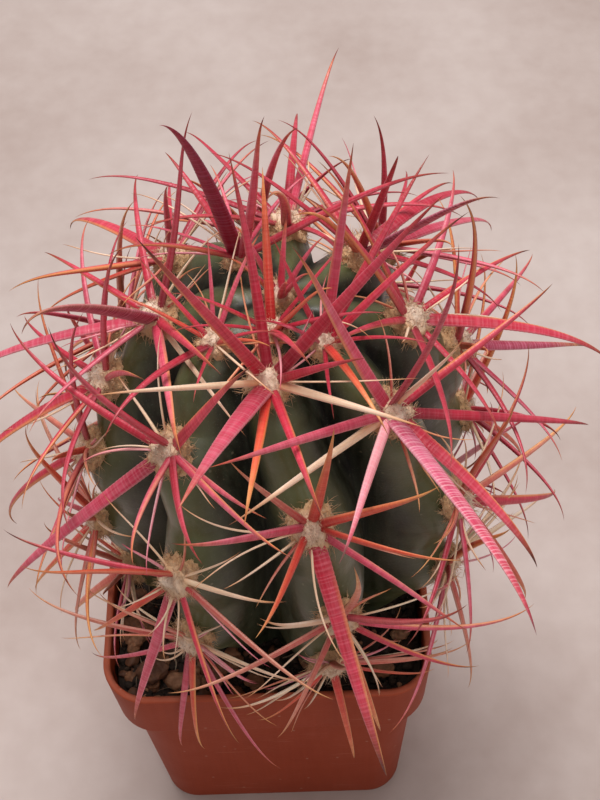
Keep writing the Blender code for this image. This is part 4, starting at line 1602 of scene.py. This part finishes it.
# The spines that give the plant its look, as a Spine's values, by their rib and step up the rib
SHAPED = {
    (0, 0): ((45, 65, 38, 1.8, 0, AMBER), (175, 65, 42, 2.4, 10, CORAL), (325, 60, 37, 1.6, 5, IVORY)),
    (0, 1): ((40, 45, 42, 2.8, 15, CRIMSON), (325, 60, 40, 2, 5, IVORY), (170, 80, 48, 2.4, 10, CORAL)),
    (0, 2): (
        (170, 80, 66, 4.2, 15, CRIMSON), (300, 40, 46, 2.4, 0, PINK), (58, 45, 41, 2.4, 0, CORAL),
        (10, 50, 40, 2.6, 0, CORAL), (330, 50, 37, 1.8, 5, AMBER), (240, 22, 34, 2, 5, CORAL),
        (82, 35, 42, 1.6, 10, CORAL),
    ),
    (0, 3): (
        (200, 25, 51, 4.4, 15, PINK), (255, 35, 46, 1.6, 0, IVORY), (105, 45, 45, 2, 0, IVORY),
        (315, 25, 58, 3, 0, CRIMSON), (45, 48, 60, 3, 0, CRIMSON), (178, 45, 43, 2.2, -15, CORAL),
        (140, 45, 46, 2.2, -15, CRIMSON), (80, 30, 34, 2.2, 10, CRIMSON),
    ),
    (0, 4): ((130, 30, 34, 3, 0, CORAL), (350, 50, 34, 2.4, 0, CORAL)),
    (1, 0): ((5, 70, 45, 2.6, -20, CORAL), (200, 65, 40, 2, 10, AMBER), (115, 80, 48, 2.4, -10, IVORY)),
    (1, 1): ((135, 72, 46, 2.8, 30, CRIMSON), (170, 82, 52, 2.8, 10, CORAL), (0, 60, 48, 2.6, -10, CORAL)),
    (1, 2): (
        (220, 30, 72, 4.6, 5, LILAC), (345, 55, 58, 3.2, -15, PINK), (20, 22, 56, 3, 15, CRIMSON),
        (295, 62, 62, 2.4, -15, PINK), (130, 85, 58, 2.6, 30, CRIMSON), (255, 60, 44, 2.6, -10, BLUSH),
        (278, 82, 46, 2, -10, IVORY), (50, 22, 30, 1.4, 0, IVORY),
    ),
    (1, 3): ((45, 22, 51, 2.6, -15, PINK), (100, 40, 43, 2.2, 0, CRIMSON), (68, 62, 45, 2.2, 0, CRIMSON)),
    (2, 1): ((180, 60, 41, 2.6, 20, CORAL), (115, 60, 48, 2.4, -15, AMBER)),
    (2, 2): ((160, 78, 58, 3, -10, PURPLE), (0, 50, 54, 2.8, 15, CRIMSON), (125, 60, 41, 2, 10, PINK)),
    (3, 3): ((290, 35, 52, 3.8, 0, PURPLE), (330, 35, 50, 2.4, 0, CRIMSON), (0, 50, 47, 2.2, 10, CORAL)),
    (4, 3): ((180, 62, 46, 2.4, 25, CRIMSON), (200, 30, 44, 2.2, 10, PINK)),
    (5, 2): ((75, 65, 47, 2.6, 0, CRIMSON), (15, 55, 41, 2.2, 0, PINK), (142, 85, 38, 2, 10, CORAL)),
    (5, 3): (
        (55, 15, 60, 4.2, 15, MAROON), (330, 50, 60, 2.6, 5, CRIMSON), (5, 25, 54, 2.6, -15, PINK),
        (75, 45, 45, 2, 10, CRIMSON),
    ),
    (6, 1): ((190, 70, 50, 2.2, 0, CORAL), (160, 75, 45, 2, 10, AMBER)),
    (6, 2): (
        (190, 65, 50, 2.6, 45, CRIMSON), (240, 70, 36, 2, 0, AMBER), (70, 60, 58, 2.4, 30, CRIMSON),
        (45, 50, 30, 1.8, 10, CORAL),
    ),
    (6, 4): (
        (75, 35, 69, 4.2, 15, PURPLE), (345, 45, 53, 2.6, -15, CRIMSON), (70, 85, 50, 2.6, -10, PINK),
        (40, 75, 38, 2.2, 10, CRIMSON), (52, 88, 44, 1.4, 5, IVORY),
    ),
    (7, 0): (
        (185, 75, 48, 2.4, 5, PINK), (170, 70, 43, 2, 15, CORAL), (335, 65, 38, 1.8, 0, AMBER),
        (62, 80, 40, 1.6, 5, IVORY),
    ),
    (7, 1): (
        (185, 85, 53, 3.4, 0, PINK), (340, 38, 56, 2.2, -10, CORAL), (55, 70, 39, 1.6, 5, IVORY),
        (212, 88, 43, 2, 10, CORAL),
    ),
    (7, 2): (
        (205, 88, 64, 3.6, 15, PINK), (335, 20, 50, 2.6, 15, CRIMSON), (95, 45, 42, 2.4, 10, CRIMSON),
        (80, 60, 54, 1.8, 5, PINK), (75, 68, 34, 1.8, 10, PINK), (110, 30, 42, 2.2, 10, PINK),
        (30, 60, 42, 3, 0, CRIMSON),
    ),
}

TONES_BY_AGE = (  # height in mm up to which each mix of tones holds, oldest first
    (45, (AMBER, PINK, CORAL, AMBER, CORAL, IVORY, BLUSH, CRIMSON)),
    (85, (CORAL, CRIMSON, PINK, CRIMSON, CORAL, AMBER, PINK, CRIMSON)),
    (200, (CRIMSON, CRIMSON, CRIMSON, CRIMSON, PINK, PINK, CORAL)),
)
BRISTLES_BY_AGE = ((50, 13), (85, 9), (118, 6), (200, 3))  # height in mm up to which each count holds
BRISTLE_TONES = (IVORY, IVORY, IVORY, AMBER, BLUSH)
BRISTLE_RANGES = ((0, 360), (62, 88), (14, 33), (0.55, 1.0), (-25, 30))  # clock, lean, length, width and curl
BRISTLE_SWAY = 45

JITTER = (9, 6, 0.12, 8, 16)  # most change of an ordinary spine's clock, lean, length share, curl and sway
CLOCK_TRIES = range(-30, 31, 5)  # degrees that a spine may turn to find a clear place
LEAN_TRIES = range(-40, 21, 5)
LENGTH_TRIES = (1, 0.85, 0.7)
LEAN_COST = 1.3  # of a degree of lean, against one of clock
LENGTH_COST = 60
HIDDEN_SAMPLES = 2  # inside the wool


@dataclass
class SpinePlan:
    """Where every spine goes: clear of the pot, the stem, the other pads and the spines before it."""

    pot: Pot
    stem: Stem
    stones: Sequence[tuple[np.ndarray, float]]
    soil_bump: float = 1.2 * MM
    gap: float = 0.3 * MM
    pad_radius: float = 4.8 * MM
    pad_height: float = 2.8 * MM
    pad_room: float = 1.15
    root_height: float = 0.55
    root_spread: float = 0.3
    seat_rays: int = 6
    tangent_step: float = 1.2 * DEG
    young_height: float = 119 * MM
    young_share: float = 0.72
    young_length: float = 0.62
    young_lean: float = 0.72
    low_height: float = 32 * MM
    low_share: float = 0.8
    samples: int = 32
    flat_width: float = 2.9 * MM
    thickness_share: float = 0.42
    clearance: float = 0.6 * MM
    stem_clearance: float = 0.5 * MM
    tip_hook: float = 26
    free_angle: float = 34

    def seat_at(self, skin: BVHTree, azimuth: float, turn: float, share: float) -> Seat:
        """A pad's seat: a plane across the areole, a gap above the highest skin under the pad.

        Args:
            skin: The CAD stem's skin.
            azimuth: The areole's azimuth.
            turn: Its profile angle.
            share: Size of the pad.

        Returns:
            The seat.
        """
        step, at = self.tangent_step, self.stem.surface
        middle = at(azimuth, turn)
        if turn < math.pi / 2:
            along = at(azimuth, turn + step) - at(azimuth, turn - step)
            around = at(azimuth + step, turn) - at(azimuth - step, turn)
            up, outward = unit(along), unit(np.cross(around, along))
        else:
            up, outward = np.array([0.0, 1.0, 0.0]), np.array([0.0, 0.0, 1.0])
        side = np.cross(up, outward)
        rays = range(-self.seat_rays, self.seat_rays + 1)
        lifts = []
        for i, j in ((i, j) for i in rays for j in rays if i * i + j * j <= self.seat_rays**2):
            offset = (side * i + up * j) * self.pad_radius * share / self.seat_rays
            start = middle + offset + outward * 2 * self.pad_radius
            hit = skin.ray_cast(Vector(start), Vector(-outward))[0]
            if hit:
                lifts.append((np.array(hit) - middle) @ outward)
        return Seat(middle + outward * (max(lifts) + self.gap), outward, up, side, share)

    def seats(self) -> dict[Areole, Seat]:
        """The seat of every areole, and of the growing tip.

        Returns:
            The seats, by rib and step.
        """
        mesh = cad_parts["stem"].data
        points, faces = [vert.co for vert in mesh.vertices], [face.vertices for face in mesh.polygons]
        skin = BVHTree.FromPolygons(points, faces)
        found = {}
        for rib, heights in enumerate(AREOLES):
            for step, height in enumerate(heights):
                turn = float(self.stem.turn_at(height * MM))
                share = self.young_share if height * MM > self.young_height else 1
                found[rib, step] = self.seat_at(skin, float(self.stem.rib_azimuth(rib, turn)), turn, share)
        found[CROWN] = self.seat_at(skin, 0, math.pi / 2, self.young_share)
        return found

    def spines_of(self, rib: int, step: int) -> tuple[int, list[Spine]]:
        """An areole's own shaped spines, then ordinary ones in the directions left free.

        Args:
            rib: The areole's rib.
            step: Its step up the rib.

        Returns:
            How many are shaped, and all the spines.
        """
        if (rib, step) == CROWN:
            turns = [360 * index / CROWN_SPINES for index in range(CROWN_SPINES)]
            return CROWN_SPINES, [CROWN_SPINE._replace(clock=CROWN_SPINE.clock + turn) for turn in turns]
        seed = 100 * rib + step
        chance, hue = random.Random(seed), random.Random(7000 + seed)
        height = AREOLES[rib][step] * MM
        shaped = [Spine(*values) for values in SHAPED.get((rib, step), ())]
        spines = list(shaped)
        young = height > self.young_height
        share = self.young_length if young else self.low_share if height < self.low_height else 1
        tones = next(mix for limit, mix in TONES_BY_AGE if height < limit * MM)
        for ordinary in PATTERN:
            clock, lean, length, curl, sway = (chance.uniform(-1, 1) * most for most in JITTER)
            tone = hue.choice(tones)
            apart = [abs((ordinary.clock - spine.clock + 180) % 360 - 180) for spine in shaped]
            if any(angle < self.free_angle for angle in apart):
                continue
            spines.append(Spine(
                ordinary.clock + clock,
                (self.young_lean if young else 1) * ordinary.lean + lean,
                share * ordinary.length * (1 + length),
                share * ordinary.width,
                ordinary.curl + curl,
                tone,
                sway,
            ))
        return len(shaped), spines

    def line(self, seat: Seat, spine: Spine, samples: int) -> np.ndarray:
        """Points along the middle of a spine, from inside the wool to its tip.

        Args:
            seat: Its pad's seat.
            spine: Its shape.
            samples: Count of steps.

        Returns:
            The points, one more than the steps.
        """
        first = seat.up * math.cos(spine.clock * DEG) + seat.side * math.sin(spine.clock * DEG)
        inside = seat.outward * self.pad_height * self.root_height
        inside = inside + first * self.pad_radius * self.root_spread
        start = seat.base + inside * seat.share
        along = (np.arange(samples) + 0.5) / samples
        lean = (spine.lean + spine.curl * along**1.5 + self.tip_hook * along**7) * DEG
        clock = (spine.clock + spine.sway * along**1.5) * DEG
        tangent = np.outer(np.cos(clock), seat.up) + np.outer(np.sin(clock), seat.side)
        steps = np.cos(lean)[:, None] * seat.outward + np.sin(lean)[:, None] * tangent
        return np.vstack([start, start + np.cumsum(steps * spine.length * MM / samples, axis=0)])

    @staticmethod
    def half_widths(spine: Spine, samples: int) -> np.ndarray:
        """Half a spine's width at each of its points."""
        along = np.arange(samples + 1) / samples
        return spine.width * MM / 2 * (1 - along**2.4) ** 0.8

    def clears_pot(self, points: np.ndarray, radii: np.ndarray) -> bool:
        """Whether no point is in the pot's wall, in the soil or in a stone.

        Args:
            points: Points along a spine.
            radii: Half its thickness at each.

        Returns:
            True if none is.
        """
        x, y, z = np.abs(points[:, 0]), np.abs(points[:, 1]), points[:, 2]
        margin = radii + self.clearance
        reach, soil_z, half = np.maximum(x, y), self.stem.soil_z, self.pot.rim_width / 2
        in_mouth = reach < self.pot.inner_width(soil_z) / 2 - margin
        in_mouth &= (np.hypot(x, y) < half) & (z > soil_z + self.soil_bump + margin)
        if ((z < self.pot.height + margin) & (reach <= half + margin) & ~in_mouth).any():
            return False
        apart = [np.linalg.norm(points - middle, axis=1) - radius for middle, radius in self.stones]
        return all((gap >= margin).all() for gap in apart)

    @staticmethod
    def changes() -> list[tuple[float, float, float, float]]:
        """Small changes of a spine's clock, lean and length, from none to large.

        Returns:
            Their cost and the three changes.
        """
        tries = []
        for clock in CLOCK_TRIES:
            for lean in LEAN_TRIES:
                for length in LENGTH_TRIES:
                    cost = abs(clock) + LEAN_COST * abs(lean) + LENGTH_COST * (1 - length)
                    tries.append((cost, clock, lean, length))
        return sorted(tries)

    def settle(self, seats: dict[Areole, Seat]) -> dict[Areole, list[Spine]]:
        """Gives every spine its place, the shaped and the widest ones first.

        Args:
            seats: The pads' seats.

        Returns:
            The spines of each areole as they stand.
        """
        waiting = []
        for key in seats:
            shaped_count, spines = self.spines_of(*key)
            waiting += [(index >= shaped_count, key, spine) for index, spine in enumerate(spines)]
        waiting.sort(key=lambda entry: (entry[0], -entry[2].width))
        pads = {}
        for key, seat in seats.items():
            pads[key] = seat.base + seat.outward * self.pad_height * seat.share / 2
        placed: dict[Areole, list[Spine]] = {key: [] for key in seats}
        taken: list[tuple[Areole, np.ndarray, np.ndarray]] = []
        tries = self.changes()
        for _, key, wanted in waiting:
            others = [entry for entry in taken if entry[0] != key]
            cloud = np.concatenate([entry[1] for entry in others]) if others else np.empty((0, 3))
            cloud_radii = np.concatenate([entry[2] for entry in others]) if others else np.empty(0)
            other_pads = np.array([pad for other, pad in pads.items() if other != key])
            for _, clock, lean, length in tries:
                spine = wanted._replace(
                    clock=wanted.clock + clock, lean=wanted.lean + lean, length=wanted.length * length
                )
                points = self.line(seats[key], spine, self.samples)
                radii = self.half_widths(spine, self.samples)
                reach = radii[:, None] + self.clearance
                from_pads = np.linalg.norm(points[:, None] - other_pads[None], axis=2)
                if (from_pads < self.pad_radius * self.pad_room + reach).any():
                    continue
                if not self.clears_pot(points, radii):
                    continue
                squares = ((points[:, None] - cloud[None]) ** 2).sum(axis=2)
                if (squares < (reach + cloud_radii[None]) ** 2).any():
                    continue
                flat = self.thickness_share if 2 * radii[0] >= self.flat_width else 1
                shown = slice(HIDDEN_SAMPLES, None)
                if self.stem.clears(points[shown], radii[shown] * flat, self.stem_clearance):
                    placed[key].append(spine)
                    taken.append((key, points, radii))
                    break
            else:
                LOG.info("a spine of areole %s finds no clear place", key)
        return placed


@dataclass
class Cluster:
    """One areole: its wool, its spines and its thin radial bristles."""

    plan: SpinePlan
    key: Areole
    seat: Seat
    spines: list[Spine]
    flatness: tuple[float, float] = (0.66, 0.4)
    ripple: tuple[float, float] = (0.012, 0.022)
    step: tuple[float, float] = (0.6, 0.3)
    sides: tuple[int, int] = (9, 14)
    twist: float = 24
    pad_shape: tuple[float, float, float] = (1.02, 1.15, 0.8)
    pad_lump: float = 0.32
    pad_felt: float = 0.2
    fibres: int = 1100
    fibre_steps: int = 5
    fibre_length: tuple[float, float] = (0.7, 2.1)
    fibre_width: tuple[float, float] = (0.06, 0.12)
    fibre_tip: float = 0.03
    fibre_bend: float = 0.6
    bristle_steps: int = 22
    bristle_tries: int = 12

    @property
    def node(self) -> str:
        """The CAD node's name."""
        if self.key == CROWN:
            return "crown_tuft"
        return f"spine_cluster_{self.key[0] + 1}{'abcde'[self.key[1]]}"

    @property
    def label(self) -> str:
        """The areole's name in the pieces' names."""
        return self.node.replace("spine_cluster_", "")

    def chance(self, seed: int) -> random.Random:
        """This areole's own source of random numbers for one purpose."""
        return random.Random(seed + 10 * self.key[0] + self.key[1])

    def add_spine(self, batch: MeshBatch, spine: Spine, chance: float) -> None:
        """Adds a spine's skin: flattened if wide, with rings across it and a little twist.

        Args:
            batch: The mesh that it joins.
            spine: Its shape.
            chance: Its own random number.
        """
        wide = spine.width * MM >= self.plan.flat_width
        samples = int(spine.length / self.step[wide])
        line = self.plan.line(self.seat, spine, samples)
        along = np.arange(samples + 1) / samples
        reach = along * spine.length
        ripple = np.sin(TURN * reach / RING_PITCH) * (1 - smooth((along - 0.7) / 0.25))
        half = spine.width * MM / 2 * (1 - along**1.9) ** 0.9 * (1 + self.ripple[wide] * ripple)
        clock = (spine.clock + self.twist * (chance - 0.5)) * DEG
        first = self.seat.up * math.cos(clock) + self.seat.side * math.sin(clock)
        batch.add_tube(
            line, np.cross(self.seat.outward, first), half, half * self.flatness[wide], self.sides[wide],
            spine.tone.value, along=along, reach=reach, chance=chance,
            wide=min(1, max(0, (spine.width - 2) / 2)),
        )

    def make_spines(self, finishes: Sequence[Material]) -> None:
        """All the stout spines as one piece, which stands for the CAD cluster.

        Args:
            finishes: The spines' materials, tone by tone.
        """
        chance = self.chance(300)
        batch = MeshBatch()
        for spine in self.spines:
            self.add_spine(batch, spine, chance.random())
        place(batch.build(f"spines_{self.label}", *finishes), Slot.SPINE, self.node)

    def make_wool(self, finish: Material) -> None:
        """A lumpy felted pad with loose fibres.

        Args:
            finish: The wool's material.
        """
        chance = self.chance(900)
        seat, share = self.seat, self.seat.share
        axes = np.stack([seat.side, seat.up, seat.outward])
        unit_points, faces = ball(4)
        shift = chance.uniform(0, 50)
        coarse, fine = rough_field(unit_points, 0.42, shift), rough_field(unit_points, 0.17, shift + 9)
        swell = 1 + self.pad_lump * coarse + self.pad_felt * fine
        radius = self.plan.pad_radius * share
        local = unit_points * swell[:, None] * np.array([radius * part for part in self.pad_shape])
        outer = np.hypot(local[:, 0], local[:, 1]) / radius
        batch = MeshBatch()
        # The pad's chance is high where its fine lumps dip, and its finish paints shade there.
        batch.add(seat.base + local @ axes, faces, chance=0.5 - 0.5 * fine, outer=outer)
        along = np.linspace(0, 1, self.fibre_steps)
        for _ in range(int(self.fibres * share)):
            index = chance.randrange(len(local))
            root = local[index]
            if root[2] < -0.4 * radius:
                continue
            out = unit(root * np.array([1, 1, 1.6]))
            heading = unit(0.5 * out + np.array([chance.gauss(0, 1) for _ in range(3)]))
            bend = np.array([chance.gauss(0, 1) for _ in range(3)])
            length = chance.uniform(*self.fibre_length) * MM * (0.6 + 0.4 * share)
            bent = np.outer(along**2, bend) * length * self.fibre_bend
            path = root + np.outer(along, heading) * length + bent
            thick = np.linspace(chance.uniform(*self.fibre_width), self.fibre_tip, self.fibre_steps) * MM
            batch.add_tube(
                seat.base + path @ axes, np.array([0.3, 0.2, 0.93]), thick, thick, 3,
                chance=chance.random(), outer=float(outer[index]) + 0.1,
            )
        place(batch.build(f"wool_{self.label}", finish), Slot.SPINE)

    def make_bristles(self, finishes: Sequence[Material]) -> None:
        """Thin curved bristles round the areole, more of them on the older ones.

        Args:
            finishes: The spines' materials, tone by tone.
        """
        chance = self.chance(1500)
        height = float(self.seat.base[2] - self.plan.stem.soil_z) / MM
        wanted = next(count for limit, count in BRISTLES_BY_AGE if height < limit)
        samples = self.bristle_steps
        along = np.arange(samples + 1) / samples
        batch = MeshBatch()
        made = 0
        for _ in range(self.bristle_tries * wanted):
            tone = chance.choice(BRISTLE_TONES)
            drawn = [chance.uniform(low, high) for low, high in BRISTLE_RANGES]
            bristle = Spine(*drawn, tone, chance.uniform(-BRISTLE_SWAY, BRISTLE_SWAY))
            line = self.plan.line(self.seat, bristle, samples)
            radii = self.plan.half_widths(bristle, samples)
            if not self.plan.clears_pot(line, radii - self.plan.clearance * 0.6):
                continue
            if not self.plan.stem.clears(line[3:], radii[3:], 0.1 * MM):
                continue
            batch.add_tube(
                line, self.seat.outward + 0.01, radii, radii * 0.8, 6, tone.value,
                along=along, reach=along * bristle.length, chance=chance.random(),
            )
            made += 1
            if made == wanted:
                break
        if made:
            place(batch.build(f"bristles_{self.label}", *finishes), Slot.SPINE)


@dataclass
class Armour:
    """All the areoles of the stem."""

    plan: SpinePlan

    def dress(self) -> None:
        """Builds every cluster in its finish."""
        finishes = [SPINE_FINISHES[tone].make() for tone in Tone]
        wool = WOOL_FINISH.make()
        seats = self.plan.seats()
        for key, spines in self.plan.settle(seats).items():
            cluster = Cluster(self.plan, key, seats[key], spines)
            cluster.make_spines(finishes)
            cluster.make_wool(wool)
            if key != CROWN:
                cluster.make_bristles(finishes)


# --- Studio ------------------------------------------------------------------------------------


@dataclass(frozen=True)
class Softbox:
    """A square area light that points at the plant."""

    name: str
    place: tuple[float, float, float]
    size: float
    power: float
    colour: tuple[float, float, float]

    def hang(self, target: Vector) -> None:
        """Adds the light, turned towards the target.

        Args:
            target: What it points at.
        """
        data = bpy.data.lights.new(self.name, "AREA")
        data.shape, data.size, data.energy, data.color = "SQUARE", self.size, self.power, self.colour
        lamp = linked(self.name, data)
        lamp.location = self.place
        lamp.rotation_euler = (target - Vector(self.place)).to_track_quat("-Z", "Y").to_euler()


@dataclass
class Studio:
    """Pale floor, soft light and the camera."""

    elevation: float = 55.4 * DEG
    azimuth: float = 1.96 * DEG
    roll: float = -3.67 * DEG
    eye: tuple[float, float, float] = (0.01896, -0.19219, 0.45007)
    lens: float = 63.0
    sensor: float = 36.0
    floor_half: float = 1.5
    world_strength: float = 0.3
    world_colour: Colour = (1.0, 0.98, 0.97, 1.0)
    softboxes: tuple[Softbox, ...] = (
        Softbox("overhead", (-0.05, 0.25, 1.2), 0.6, 11.6, (1.0, 0.98, 0.97)),
        Softbox("front_fill", (0.5, -0.9, 1.0), 0.7, 2.0, (1.0, 0.97, 0.95)),
    )

    def make_floor(self) -> None:
        """Lays the floor."""
        shape = bmesh.new()
        bmesh.ops.create_grid(shape, x_segments=4, y_segments=4, size=self.floor_half)
        mesh = mesh_of("floor", shape)
        mesh.materials.append(FLOOR_FINISH.make())
        linked("floor", mesh)

    def make_camera(self) -> None:
        """Sets the camera, looking down at the front."""
        flat, high = math.cos(self.elevation), math.sin(self.elevation)
        back = Vector((math.sin(self.azimuth) * flat, -math.cos(self.azimuth) * flat, high))
        right = (-back).cross(Vector((0, 0, 1))).normalized()
        up = right.cross(-back)
        turned_right = right * math.cos(self.roll) + up * math.sin(self.roll)
        turned_up = up * math.cos(self.roll) - right * math.sin(self.roll)
        data = bpy.data.cameras.new("camera")
        data.lens, data.sensor_width = self.lens, self.sensor
        camera = linked("camera", data)
        axes = Matrix((turned_right, turned_up, back)).transposed().to_4x4()
        camera.matrix_world = Matrix.Translation(self.eye) @ axes
        bpy.context.scene.camera = camera

    def light(self, target: Vector) -> None:
        """Hangs the softboxes and lights the surroundings.

        Args:
            target: What the softboxes point at.
        """
        for softbox in self.softboxes:
            softbox.hang(target)
        world = bpy.data.worlds.new("studio")
        world.use_nodes = True
        background = world.node_tree.nodes["Background"].inputs
        background["Color"].default_value = self.world_colour
        background["Strength"].default_value = self.world_strength
        bpy.context.scene.world = world
        bpy.context.scene.view_settings.view_transform = "Standard"

    def dress(self) -> None:
        """Builds the studio."""
        low, high = CAD_BOX
        self.make_floor()
        self.make_camera()
        self.light((low + high) / 2)


def main() -> None:
    """Builds the potted cactus and its studio."""
    logging.basicConfig(level=logging.INFO, format="%(message)s")
    pot = Pot()
    soil_z = pot.height - SOIL_DROP
    stem = Stem(soil_z)
    pot.dress(soil_z)
    stem.dress()
    SoilBed(pot, stem, soil_z).dress()
    Armour(SpinePlan(pot, stem, stone_rooms(soil_z))).dress()
    Studio().dress()


if __name__ == "__main__":
    main()
